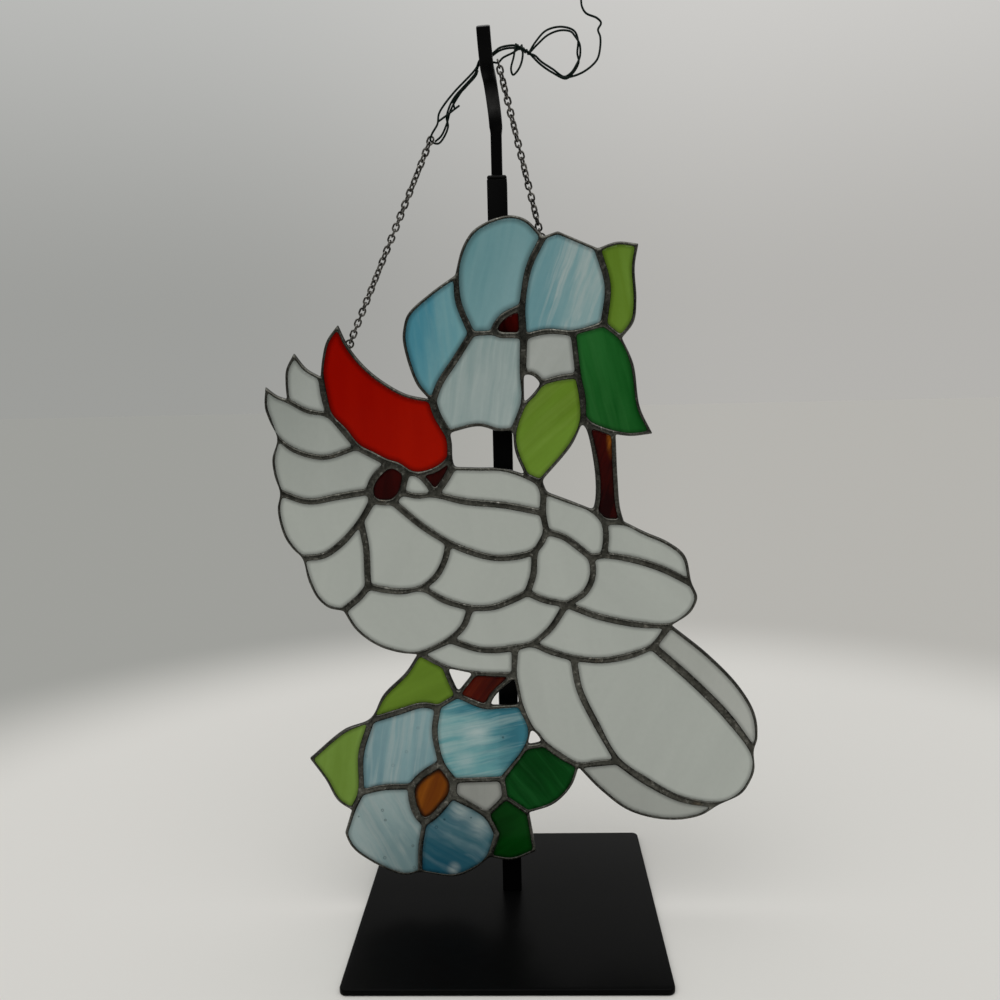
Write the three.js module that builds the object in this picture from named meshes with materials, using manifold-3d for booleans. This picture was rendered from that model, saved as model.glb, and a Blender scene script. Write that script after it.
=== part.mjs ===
// Stained glass suncatcher: a copper-foil panel of a crested bird between two blue flowers,
// hung by two chains and a twisted wire from a black telescopic display stand.
// Millimetres, +Z up, +Y away from the viewer. The origin is the middle of the stand's underside.

import * as THREE from 'three';
import { mergeVertices } from 'three/addons/utils/BufferGeometryUtils.js';
import Module from 'manifold-3d';

const wasm = await Module();
wasm.setup();

// ---- Driving dimensions -------------------------------------------------------------------

const FIT = 0.3; // clearance between pieces that touch

const PLATE = { side: 152.4, thickness: 3, corner: 3.5 };
const TUBE = { side: 10, wall: 1.1, top: 376.8 };
const CAP = { side: 9.8, top: 8.6, lip: 1.8, skirt: 6 };
const ROD = { side: 5.6, bottom: 250, top: 403 };
const HOOK = { width: 6.5, thickness: 4.8 };
const POST = { x: 1.3, y: 13.1 }; // the post stands behind the middle of the plate

const PANEL_Y = -1; // mid-plane of the hanging panel
const GLASS_THICKNESS = 3;
const SOLDER_THICKNESS = 4.2;
const MAX_TURN = THREE.MathUtils.degToRad(27); // largest bend left between two straight facets

// Widths of the solder lines
const EDGE = 1.7;
const FINE = 2.6;
const SEAM = 3.5;
const WIDE = 4.2;

const LINK = { pitch: 2.85, width: 3.5, wire: 0.85 };
const WIRE = 0.75;

// ---- Cutting pattern of the panel -----------------------------------------------------------
// [x, z] in millimetres, z above the ground. Named points are the places where solder lines meet.

const joints = {
  // crest and head
  tipSmall: [-101.9, 291.5], tipSecond: [-116.7, 275.2], tipRed: [-79.5, 305],
  a1: [-88.5, 279.6], a2: [-105.8, 269], a3: [-85.2, 261.4], a4: [-33, 267.3], a5: [-26.3, 252],
  a6: [-24.3, 233.4], a7: [-25.2, 239],
  e1: [-66.6, 222.7], e2: [-65.2, 217.6], e3: [-54.3, 216.7], e4: [-50.2, 221.4], e5: [-47.2, 232.2],
  e6: [-56.3, 236.8], e7: [-41.3, 231], e8: [-33, 220.3],
  c1: [-111.7, 250.4], c2: [-71.6, 245.2], c3: [-111.6, 222.6], c4: [-101.7, 189], c5: [-71.4, 207.6],
  c6: [-68.9, 173.8], c7: [-81.8, 161.6],
  // body
  d1: [-43.4, 138.2], d2: [-41.3, 172.4], d3: [-26.9, 195.6], d4: [-16.6, 161.7], d5: [16.9, 190.6],
  d6: [12.6, 169.2], d7: [32.4, 162.8], d8: [45, 186.8], d9: [51.8, 188], d10: [52, 205.2],
  d11: [21.6, 220.4], d12: [47.7, 209.9], d13: [60.8, 204.6], g1: [21.2, 210.2], g2: [22.7, 200.6],
  d16: [95.2, 173], d17: [84.6, 151], d19: [76.3, 140.3], d20: [35.5, 134.8], d21: [-27.8, 145.1],
  d22: [5.7, 140.7], d23: [5.2, 126.4], d24: [14.5, 142.4], b2: [13.9, 228.4], b3: [19.5, 225.8],
  // tail
  d30: [57.8, 79.6], d31: [37.2, 77.6], g3: [109.2, 55.8], g4: [127.2, 84.6],
  // upper flower
  b1: [7.7, 252.6], d14: [44.4, 254.4], d15: [57, 249.8], f1: [-19.4, 328.6], f2: [-12.7, 300.2],
  f3: [23.4, 345.7], f4: [12.8, 313.4], f5: [-1.9, 300.5], f6: [13.1, 298.4], f7: [12.1, 280.7],
  f8: [22.4, 275.1], f9: [12, 263.8], f10: [37.9, 299.6], f11: [40, 278.4], f12: [41.9, 257.4],
  f13: [52.9, 303.4], f14: [60.9, 296.6], f15: [50.3, 339.4],
  tipDark: [75.4, 249.6], tipLight: [69.3, 341.2],
  // lower flower
  d25: [8.2, 109.9], d26: [-15, 127.6], d27: [-31, 131.2], d28: [-24.8, 115.6], d29: [-9.8, 109.2],
  d32: [20.2, 89.2], d33: [12.7, 98.6], d34: [10, 87.2], d35: [-2.3, 70.9], d36: [10.4, 52.5],
  d37: [-0.9, 60.6], d40: [-34.2, 79.9], d41: [-35, 109.6], d42: [-70, 103], d43: [-81.2, 54.4],
  d44: [-76.8, 64], d45: [-50.2, 67], d46: [-47, 20.2], d47: [-43.8, 47], d48: [-28.9, 61.8],
  d49: [-28, 70.2], d50: [-11, 50.8], d51: [-10.2, 28.4],
  tipLeft: [-102.2, 82.4], cornerLeaf: [13.6, 31.3],
};

// Each stroke is one smooth line: its width, then the points it runs through.
const strokes = [
  // crest feathers
  [EDGE, 'tipSmall', [-96.6, 284.6], 'a1'],
  [EDGE, 'tipSmall', [-105.6, 284.5], [-106.2, 277], 'a2'],
  [EDGE, 'tipSecond', [-112, 271.4], 'a2'],
  [FINE, 'a2', [-96.5, 264], 'a3'],
  [EDGE, 'tipSecond', [-117.3, 266.5], [-115.3, 259.6], 'c1'],
  [EDGE, 'tipRed', [-84.7, 298], [-87.2, 289], 'a1'],
  [SEAM, 'a1', [-87.4, 270.5], 'a3', [-78.5, 254], 'c2', [-64.5, 241.3], 'e6'],
  [EDGE, 'tipRed', [-75.2, 295.4], [-67.2, 285], [-57.6, 276.9], [-46.6, 270.6], 'a4'],
  [WIDE, 'a4', [-31, 260.6], 'a5'],
  [FINE, 'a5', [-25.2, 246], 'a7', 'a6'],
  [FINE, 'c1', [-104, 244.4], [-89, 240.4], 'c2'],
  [EDGE, 'c1', [-114.7, 240], [-114, 231.5], 'c3'],
  [SEAM, 'c3', [-98, 218], [-82, 220.4], 'e1'],
  [EDGE, 'c3', [-113.2, 214], [-110.4, 200.5], [-106.3, 194], 'c4'],
  [SEAM, 'c4', [-91, 190.1], [-81.5, 196.6], 'c5', 'e2'],
  [EDGE, 'c4', [-99.2, 178], [-95.6, 169.4], [-89.5, 163.4], 'c7'],
  // eye and beak
  [SEAM, 'e6', [-61.8, 232], [-65.6, 227], 'e1', 'e2'],
  [FINE, 'e2', [-59.5, 216.6], 'e3'],
  [FINE, 'e3', 'e4', [-48.6, 226.5], 'e5'],
  [WIDE, 'e6', [-51.6, 235.8], 'e5'],
  [FINE, 'e5', 'e7', [-34, 232.6], [-28.6, 235.6], 'a7'],
  [FINE, 'e7', [-36.8, 226.2], 'e8'],
  [SEAM, 'a6', [-27, 228.6], 'e8'],
  [FINE, 'e4', [-42, 219.7], 'e8'],
  [SEAM, 'e8', [-18, 216.6], [2, 214.3], 'g1'],
  // back and wing
  [EDGE, 'a6', [-12, 232.9], [2, 232.2], 'b2'],
  [SEAM, 'b2', 'b3'],
  [SEAM, 'b3', 'd11', 'g1', 'g2', [20, 194.7], 'd5', [9, 188.2], [-4, 187.4], [-17, 191.2], 'd3'],
  [SEAM, 'd3', [-40, 204.4], 'e3'],
  [SEAM, 'c5', [-69.2, 194], [-69, 182], 'c6'],
  [SEAM, 'c6', [-73.2, 168.6], 'c7'],
  [SEAM, 'c6', [-60, 171.8], [-51, 170.8], 'd2'],
  [SEAM, 'd2', [-33.4, 178.8], [-28.8, 187.4], 'd3'],
  [SEAM, 'd2', [-30, 166], 'd4', [-5, 161.9], [5, 165.6], 'd6'],
  [SEAM, 'd6', [15.8, 178.6], 'd5'],
  [SEAM, 'd6', [21, 165.4], 'd7'],
  [SEAM, 'd7', [41.2, 168], [46, 177], 'd8', [39.4, 191.8], [31.4, 197.8], 'g2'],
  [EDGE, 'd11', [34, 215.6], 'd12'],
  [SEAM, 'd12', 'd10', 'd13'],
  [SEAM, 'd8', 'd9'],
  [SEAM, 'd9', [53, 197], 'd10'],
  [EDGE, 'd13', [72, 198.8], [84, 193.2], [92, 186.4], 'd16'],
  [SEAM, 'd9', [67, 185.2], [82, 180], 'd16'],
  [EDGE, 'd16', [98.1, 165.4], [94.4, 157.6], 'd17'],
  [SEAM, 'd7', [48, 156.5], [68, 152], 'd17'],
  [SEAM, 'd17', 'd19', [64, 135.6], [50, 133.2], 'd20', [24, 138.4], 'd24'],
  [SEAM, 'd24', [24, 150.2], 'd7'],
  [EDGE, 'c7', [-75.4, 151.2], [-65, 143.2], [-54, 139.4], 'd1'],
  [SEAM, 'd1', 'd21', [-20.4, 152.2], 'd4'],
  [SEAM, 'd21', [-13, 139.9], [-2, 139.6], 'd22', 'd24'],
  [FINE, 'd1', [-37, 134.4], 'd27'],
  [EDGE, 'd27', 'd26'],
  [FINE, 'd26', 'd23'],
  [SEAM, 'd22', 'd23'],
  // tail
  [EDGE, 'd23', [7, 118], 'd25'],
  [SEAM, 'd25', 'd33'],
  [EDGE, 'd33', [17, 94.6], 'd32'],
  [SEAM, 'd32', [27, 83.6], 'd31'],
  [SEAM, 'd20', [38.4, 118.4], [46, 101.4], 'd30'],
  [SEAM, 'd30', [47, 78.6], 'd31'],
  [WIDE, 'd19', [97, 121.2], [114, 103.2], 'g4'],
  [EDGE, 'd17', [104, 134.8], [119.6, 118], [127.6, 103.6], [129, 91.4], 'g4'],
  [EDGE, 'g4', [127.5, 74], [121, 61.8], 'g3'],
  [WIDE, 'd30', [72, 69], [90, 58.8], 'g3'],
  [EDGE, 'd31', [49, 64.8], [64, 53.2], [84, 48.2], [100, 50.3], 'g3'],
  // upper flower
  [EDGE, 'a4', [-40.4, 276.8], [-46.2, 297], [-43.4, 310.4], [-32, 320.2], 'f1'],
  [SEAM, 'f1', [-18.9, 316], 'f2'],
  [SEAM, 'f2', [-20.6, 288.4], [-29, 276.4], 'a4'],
  [EDGE, 'f1', [-16.2, 340.2], [-9.6, 350.2], [7, 356.4], [16, 353.6], 'f3'],
  [SEAM, 'f3', [16.2, 331.6], 'f4', 'f6'],
  [FINE, 'f4', [3.2, 308.8], 'f5', 'f6'],
  [FINE, 'f2', 'f5'],
  [SEAM, 'f6', 'f7'],
  [FINE, 'f6', [25, 300.7], 'f10', 'f13'],
  [EDGE, 'f7', 'f9'],
  [EDGE, 'f7', [17.8, 279.8], 'f8'],
  [EDGE, 'f9', [18, 269.6], 'f8'],
  [FINE, 'f8', [31, 277.5], 'f11'],
  [FINE, 'f10', 'f11'],
  [SEAM, 'f9', 'b1'],
  [EDGE, 'a5', [-10, 255.2], [0, 252.4], 'b1'],
  [EDGE, 'b1', [8.6, 241.6], 'b2'],
  [SEAM, 'f11', [41.9, 267], 'f12'],
  [EDGE, 'f12', [35.6, 244.4], 'b3'],
  [WIDE, 'f12', 'd14'],
  [SEAM, 'd14', 'd15'],
  [FINE, 'd14', [48.9, 231], [49.1, 217], 'd12'],
  [FINE, 'd15', [57.8, 227], [58.9, 212], 'd13'],
  [EDGE, 'f3', [30.8, 348.1], 'f15'],
  [SEAM, 'f15', [55.1, 322], 'f13'],
  [FINE, 'f13', 'f14'],
  [EDGE, 'f15', [60, 342.3], 'tipLight'],
  [EDGE, 'tipLight', [67.6, 331], [68.3, 315], [67, 304.6], 'f14'],
  [EDGE, 'f14', [66.6, 283.4], [69.7, 262], 'tipDark'],
  [EDGE, 'tipDark', [66, 248.7], 'd15'],
  // lower flower
  [EDGE, 'd1', [-50.6, 127.6], [-62.6, 115.8], 'd42'],
  [SEAM, 'd42', [-56, 107.2], [-43, 111], 'd41'],
  [FINE, 'd41', 'd28'],
  [FINE, 'd27', [-28.6, 124.4], 'd28'],
  [EDGE, 'd26', 'd28'],
  [FINE, 'd28', 'd29'],
  [FINE, 'd29', [-6.4, 115.6], 'd23'],
  [EDGE, 'd29', [0, 109.5], 'd25'],
  [SEAM, 'd41', [-37.1, 96], 'd40'],
  [SEAM, 'd42', [-76, 85], 'd44', 'd43'],
  [EDGE, 'd42', [-84, 97.2], 'tipLeft'],
  [EDGE, 'tipLeft', [-94.6, 71.2], [-88.8, 60], 'd43'],
  [SEAM, 'd44', [-65, 66.6], 'd45'],
  [SEAM, 'd40', [-43.4, 74.2], 'd45', [-49.2, 55], 'd47', [-34.8, 54.4], 'd48', 'd49', 'd40'],
  [FINE, 'd49', 'd35', 'd34'],
  [EDGE, 'd33', 'd34'],
  [FINE, 'd34', 'd32'],
  [FINE, 'd35', 'd37'],
  [FINE, 'd37', 'd36'],
  [EDGE, 'd31', [32.8, 66.4], [24, 57.4], 'd36'],
  [SEAM, 'd48', 'd50'],
  [FINE, 'd50', 'd37'],
  [SEAM, 'd50', [-5.6, 40.6], 'd51'],
  [EDGE, 'd36', [12.2, 41], 'cornerLeaf'],
  [EDGE, 'cornerLeaf', [2, 26.9], 'd51'],
  [EDGE, 'd51', [-19.4, 21.4], [-29, 17.9], 'd46'],
  [FINE, 'd46', [-46.3, 34], 'd47'],
  [EDGE, 'd43', [-85.4, 41.6], [-79.6, 31.4], [-64.6, 22], [-55, 18.8], 'd46'],
];

// ---- Glass pieces: a name, a point inside the piece, and the glass it is cut from -------------

const GLASS = {
  opal: { color: 0xc4c7c1, roughness: 0.22 },
  redOrange: { color: 0xc22a10, roughness: 0.2 },
  garnet: { color: 0x3a0405, roughness: 0.15 },
  skyStreaky: { color: 0x7fa9b4, roughness: 0.2 },
  paleStreaky: { color: 0xa3b5b7, roughness: 0.2 },
  blueStreaky: { color: 0x5d93a8, roughness: 0.2 },
  lilacWhite: { color: 0xb5aca8, roughness: 0.22 },
  lightGreen: { color: 0x7f9d3a, roughness: 0.2 },
  darkGreen: { color: 0x1f6a33, roughness: 0.2 },
  amber: { color: 0x8a4208, roughness: 0.15 },
  redBrown: { color: 0x551008, roughness: 0.15 },
};

const pieces = [
  ['crest_feather_small', -98, 275, 'opal'],
  ['crest_feather_second', -100, 255, 'opal'],
  ['crest_feather_third', -92, 230, 'opal'],
  ['crest_feather_fourth', -95, 205, 'opal'],
  ['crest_feather_fifth', -85, 178, 'opal'],
  ['crest_red', -60, 260, 'redOrange'],
  ['eye', -57, 226, 'garnet'],
  ['cheek', -41, 224, 'opal'],
  ['beak', -32, 229, 'garnet'],
  ['neck', -50, 190, 'opal'],
  ['back_upper', -5, 224, 'opal'],
  ['back_lower', -10, 203, 'opal'],
  ['back_rear', 36, 205, 'opal'],
  ['breast', -50, 155, 'opal'],
  ['side', -10, 175, 'opal'],
  ['belly', 0, 150, 'opal'],
  ['belly_strip', -10, 134, 'opal'],
  ['wing_small', 30, 182, 'opal'],
  ['wing_upper', 75, 191, 'opal'],
  ['wing_middle', 75, 168, 'opal'],
  ['wing_lower', 50, 146, 'opal'],
  ['tail_inner', 22, 115, 'opal'],
  ['tail_main', 80, 100, 'opal'],
  ['tail_outer', 105, 126, 'opal'],
  ['tail_under', 75, 58, 'opal'],
  ['upper_petal_left', -33, 300, 'skyStreaky'],
  ['upper_petal_top', 0, 330, 'skyStreaky'],
  ['upper_petal_right', 35, 325, 'paleStreaky'],
  ['upper_petal_bottom', -10, 275, 'paleStreaky'],
  ['upper_petal_small', 26, 288, 'lilacWhite'],
  ['upper_flower_centre', 8, 304, 'garnet'],
  ['upper_leaf_light', 62, 320, 'lightGreen'],
  ['upper_leaf_dark', 55, 275, 'darkGreen'],
  ['upper_leaf_lower', 25, 255, 'lightGreen'],
  ['upper_stem', 53, 230, 'redBrown'],
  ['lower_petal_upper_left', -55, 88, 'paleStreaky'],
  ['lower_petal_upper_right', -15, 90, 'blueStreaky'],
  ['lower_petal_lower_left', -62, 42, 'paleStreaky'],
  ['lower_petal_lower_right', -28, 38, 'blueStreaky'],
  ['lower_petal_small', -14, 63, 'lilacWhite'],
  ['lower_flower_centre', -40, 63, 'amber'],
  ['lower_leaf_top', -45, 122, 'lightGreen'],
  ['lower_leaf_left', -87, 78, 'lightGreen'],
  ['lower_leaf_right', 18, 70, 'darkGreen'],
  ['lower_leaf_bottom', 3, 42, 'darkGreen'],
  ['lower_stem', -10, 119, 'redBrown'],
];

// ---- Drawing the pattern --------------------------------------------------------------------

// The straight runs of one stroke, from joint to joint, with enough points to look round.
function runsOf([width, ...stops]) {
  const at = (stop) => (typeof stop === 'string' ? joints[stop] : stop);
  const through = stops.map((stop) => new THREE.Vector3(...at(stop), 0));
  const curve = new THREE.CatmullRomCurve3(through, false, 'centripetal');
  const runs = [];
  let run = null;
  stops.forEach((stop, i) => {
    if (typeof stop === 'string') {
      if (run) runs.push({ ...run, to: stop, points: [...run.points, joints[stop]] });
      run = { from: stop, half: width / 2, points: [joints[stop]] };
    } else {
      run.points.push(stop);
    }
    if (i === stops.length - 1) return;
    const [u0, u1] = [i / (stops.length - 1), (i + 1) / (stops.length - 1)];
    const turn = curve.getTangent(u0).angleTo(curve.getTangent(u1));
    const parts = Math.max(1, Math.ceil(turn / MAX_TURN));
    for (let k = 1; k < parts; k += 1) {
      const p = curve.getPoint(u0 + ((u1 - u0) * k) / parts);
      run.points.push([p.x, p.y]);
    }
  });
  return runs;
}

// Every closed region that the solder lines draw, as a loop of straight sides.
function regionsOf(runs) {
  const ways = runs.flatMap((run) => {
    const there = { ...run };
    const back = { from: run.to, to: run.from, half: run.half, points: [...run.points].reverse() };
    there.twin = back;
    back.twin = there;
    return [there, back];
  });
  const heading = ({ points: [p, q] }) => Math.atan2(q[1] - p[1], q[0] - p[0]);
  const leaving = new Map();
  ways.forEach((way) => leaving.set(way.from, [...(leaving.get(way.from) ?? []), way]));
  leaving.forEach((list) => list.sort((a, b) => heading(a) - heading(b)));
  const next = (way) => {
    const list = leaving.get(way.to);
    return list[(list.indexOf(way.twin) + list.length - 1) % list.length];
  };
  const seen = new Set();
  const regions = [];
  ways.forEach((first) => {
    if (seen.has(first)) return;
    const sides = [];
    for (let way = first; !seen.has(way); way = next(way)) {
      seen.add(way);
      way.points.slice(1).forEach((end, i) => sides.push(sideOf(way.points[i], end, way.half)));
    }
    regions.push(sides);
  });
  return regions;
}

function sideOf(start, end, half) {
  const length = Math.hypot(end[0] - start[0], end[1] - start[1]);
  return { start, end, half, dir: [(end[0] - start[0]) / length, (end[1] - start[1]) / length] };
}

const areaOf = (sides) => sides.reduce(
  (sum, { start, end }) => sum + (start[0] * end[1] - end[0] * start[1]) / 2, 0);

function isInside(sides, x, y) {
  const crossings = sides.filter(({ start: [x0, y0], end: [x1, y1] }) =>
    (y0 > y) !== (y1 > y) && x < x0 + ((y - y0) / (y1 - y0)) * (x1 - x0));
  return crossings.length % 2 === 1;
}

// Where two neighbouring sides meet once each has moved to its left by its half width.
function cornerBetween(a, b, extra, reach) {
  const moved = (point, { dir, half }) =>
    [point[0] - dir[1] * (half + extra), point[1] + dir[0] * (half + extra)];
  const p = moved(a.end, a);
  const q = moved(b.start, b);
  const cross = a.dir[0] * b.dir[1] - a.dir[1] * b.dir[0];
  if (Math.abs(cross) < 0.25) return [(p[0] + q[0]) / 2, (p[1] + q[1]) / 2];
  const t = ((q[0] - p[0]) * b.dir[1] - (q[1] - p[1]) * b.dir[0]) / cross;
  const corner = [p[0] + a.dir[0] * t, p[1] + a.dir[1] * t];
  const far = Math.hypot(corner[0] - a.end[0], corner[1] - a.end[1]);
  if (cross > 0 || far < reach) return corner;
  return [0, 1].map((k) => a.end[k] + ((corner[k] - a.end[k]) * reach) / far);
}

// The outline left inside a region when its borders take up their width.
// Sides that shrink away to nothing are dropped.
function insetOf(region, extra = 0, reach = 1.5) {
  const sides = [...region];
  for (;;) {
    const corners = sides.map((side, i) => cornerBetween(sides.at(i - 1), side, extra, reach));
    const lost = sides.findIndex(({ dir }, i) => {
      const [p, q] = [corners[i], corners[(i + 1) % sides.length]];
      return (q[0] - p[0]) * dir[0] + (q[1] - p[1]) * dir[1] < 0.15;
    });
    if (lost < 0) return corners;
    sides.splice(lost, 1);
  }
}

const pathOf = (PathClass, corners) =>
  new PathClass(corners.map(([x, y]) => new THREE.Vector2(x, y)));

// ---- Solids ---------------------------------------------------------------------------------

// One closed surface with shared corners.
function closed(geometry) {
  const bare = geometry.clone();
  ['normal', 'uv'].forEach((name) => bare.deleteAttribute(name));
  return mergeVertices(bare, 1e-4);
}

function toManifold(geometry) {
  const { index, attributes } = closed(geometry);
  return new wasm.Manifold(new wasm.Mesh({
    numProp: 3,
    vertProperties: new Float32Array(attributes.position.array),
    triVerts: new Uint32Array(index.array),
  }));
}

function fromManifold(solid) {
  const mesh = solid.getMesh();
  const geometry = new THREE.BufferGeometry();
  geometry.setAttribute('position', new THREE.BufferAttribute(mesh.vertProperties, 3));
  geometry.setIndex(new THREE.BufferAttribute(mesh.triVerts, 1));
  return geometry;
}

function fuse(geometries) {
  return fromManifold(geometries.map(toManifold).reduce((sum, next) => sum.add(next)));
}

// A flat plate of the given shape, centred on its own mid-plane.
function sheet(shape, thickness) {
  const geometry = new THREE.ExtrudeGeometry(shape,
    { depth: thickness, bevelEnabled: false, curveSegments: 3 });
  return closed(geometry.translate(0, 0, -thickness / 2));
}

function squareShape(side, corner = 0) {
  const [h, r] = [side / 2, corner];
  const shape = new THREE.Shape().moveTo(-h + r, -h).lineTo(h - r, -h);
  if (r) shape.absarc(h - r, -h + r, r, -Math.PI / 2, 0);
  shape.lineTo(h, h - r);
  if (r) shape.absarc(h - r, h - r, r, 0, Math.PI / 2);
  shape.lineTo(-h + r, h);
  if (r) shape.absarc(-h + r, h - r, r, Math.PI / 2, Math.PI);
  shape.lineTo(-h, -h + r);
  if (r) shape.absarc(-h + r, -h + r, r, Math.PI, Math.PI * 1.5);
  return shape;
}

// A square bar along Z, which may taper to another size at its top.
function bar(side, from, to, topSide = side) {
  const [low, high] = [side / Math.SQRT2, topSide / Math.SQRT2];
  return new THREE.CylinderGeometry(high, low, to - from, 4)
    .rotateY(Math.PI / 4)
    .rotateX(Math.PI / 2)
    .translate(0, 0, (from + to) / 2);
}

// A three-sided wire along a smooth line, its corners a little outside a round wire's surface.
function wireAlong(points, diameter, step) {
  const section = new THREE.Shape([0, 1, 2].map((i) => {
    const angle = (i / 3) * Math.PI * 2;
    return new THREE.Vector2(Math.cos(angle), Math.sin(angle)).multiplyScalar(0.6 * diameter);
  }));
  const extrudePath = new THREE.CatmullRomCurve3(points.map((p) => new THREE.Vector3(...p)));
  const steps = Math.ceil(extrudePath.getLength() / step);
  return new THREE.ExtrudeGeometry(section, { steps, extrudePath, bevelEnabled: false });
}

// ---- The stand ------------------------------------------------------------------------------

function basePlate() {
  return sheet(squareShape(PLATE.side, PLATE.corner), PLATE.thickness)
    .translate(0, 0, PLATE.thickness / 2);
}

function postTube() {
  const from = PLATE.thickness + FIT;
  const outer = bar(TUBE.side, from, TUBE.top);
  const bore = bar(TUBE.side - 2 * TUBE.wall, from + 5, TUBE.top + 1);
  return fromManifold(toManifold(outer).subtract(toManifold(bore)));
}

// The plug in the tube's mouth, which guides the rod.
function postCap() {
  const from = TUBE.top + FIT;
  const lip = bar(CAP.side, from, from + CAP.lip / 2);
  const crown = bar(CAP.side, from + CAP.lip / 2, from + CAP.lip, CAP.top);
  const skirt = bar(TUBE.side - 2 * (TUBE.wall + FIT), TUBE.top - CAP.skirt, from + 0.5);
  const bore = bar(ROD.side + 2 * FIT, TUBE.top - CAP.skirt - 1, from + CAP.lip + 1);
  const body = toManifold(lip).add(toManifold(crown)).add(toManifold(skirt));
  return fromManifold(body.subtract(toManifold(bore)));
}

// The rod leans forward above its collar, dips where the wire lies, and rises to the tip.
function hookRod() {
  const collar = bar(ROD.side, ROD.top - 3, ROD.top, HOOK.width);
  const route = [
    [0, 0, ROD.top - 0.5], [-0.1, -0.6, ROD.top + 2], [-0.7, -3.2, 411.5], [-1.7, -6.8, 419.2],
    [-2.5, -10.8, 424.2], [-3.1, -15, 425.2], [-3.4, -19.4, 427.8], [-3.8, -24.2, 433],
    [-4.2, -28.3, 440.3],
  ];
  const [w, t] = [HOOK.width / 2, HOOK.thickness / 2];
  const section = new THREE.Shape([[-w, -t], [w, -t], [w, t], [-w, t]]
    .map(([x, y]) => new THREE.Vector2(x, y)));
  const extrudePath = new THREE.CatmullRomCurve3(route.map((p) => new THREE.Vector3(...p)));
  const hook = new THREE.ExtrudeGeometry(section, { steps: 20, extrudePath, bevelEnabled: false });
  return fuse([bar(ROD.side, ROD.bottom, ROD.top - 1), collar, hook]);
}

// ---- What the panel hangs by ----------------------------------------------------------------

// The small rings stand behind the panel's top edge, and each chain ends in a turn of the wire.
const RING = { radius: 1.9, wire: 1 };
const LEFT = { ring: [-74.4, 1.9, 297], hook: [-29.8, -1, 395.2], links: 36, halfTurns: 1 };
const RIGHT = { ring: [22.8, 2.6, 346.8], hook: [3.3, -1.9, 429.7], links: 29, halfTurns: 2 };

const hangingRing = () => closed(
  new THREE.TorusGeometry(RING.radius, RING.wire / 2, 5, 12).rotateX(Math.PI / 2));

// One chain link: a ring drawn out along X.
function chainLink(pitch) {
  const radius = (LINK.width - LINK.wire) / 2;
  const stretch = (pitch + LINK.wire - 0.06) / 2 - radius;
  const ring = new THREE.TorusGeometry(radius, LINK.wire / 2, 4, 6);
  const { position } = ring.attributes;
  for (let i = 0; i < position.count; i += 1) {
    position.setX(i, position.getX(i) + Math.sign(position.getX(i)) * stretch);
  }
  return ring;
}

// Links from the ring up to the wire, each turned a quarter against the last.
function chain({ ring, hook, links, halfTurns }) {
  const end = new THREE.Vector3(...hook);
  const run = end.clone().sub(new THREE.Vector3(...ring));
  const aim = new THREE.Quaternion()
    .setFromUnitVectors(new THREE.Vector3(1, 0, 0), run.clone().normalize());
  const start = new THREE.Vector3(...ring).addScaledVector(run, 0.7 / run.length());
  run.subVectors(end, start);
  const pitch = (run.length() - LINK.wire) / links;
  return fuse(Array.from({ length: links }, (_, i) => {
    const angle = (i % 2) * (Math.PI / 2) + (halfTurns * Math.PI * i) / (links - 1);
    const roll = new THREE.Quaternion().setFromAxisAngle(new THREE.Vector3(1, 0, 0), angle);
    const along = (LINK.wire / 2 + (i + 0.5) * pitch) / run.length();
    const place = start.clone().addScaledVector(run, along);
    return chainLink(pitch).applyQuaternion(roll).applyQuaternion(aim)
      .translate(place.x, place.y, place.z);
  }));
}

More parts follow.
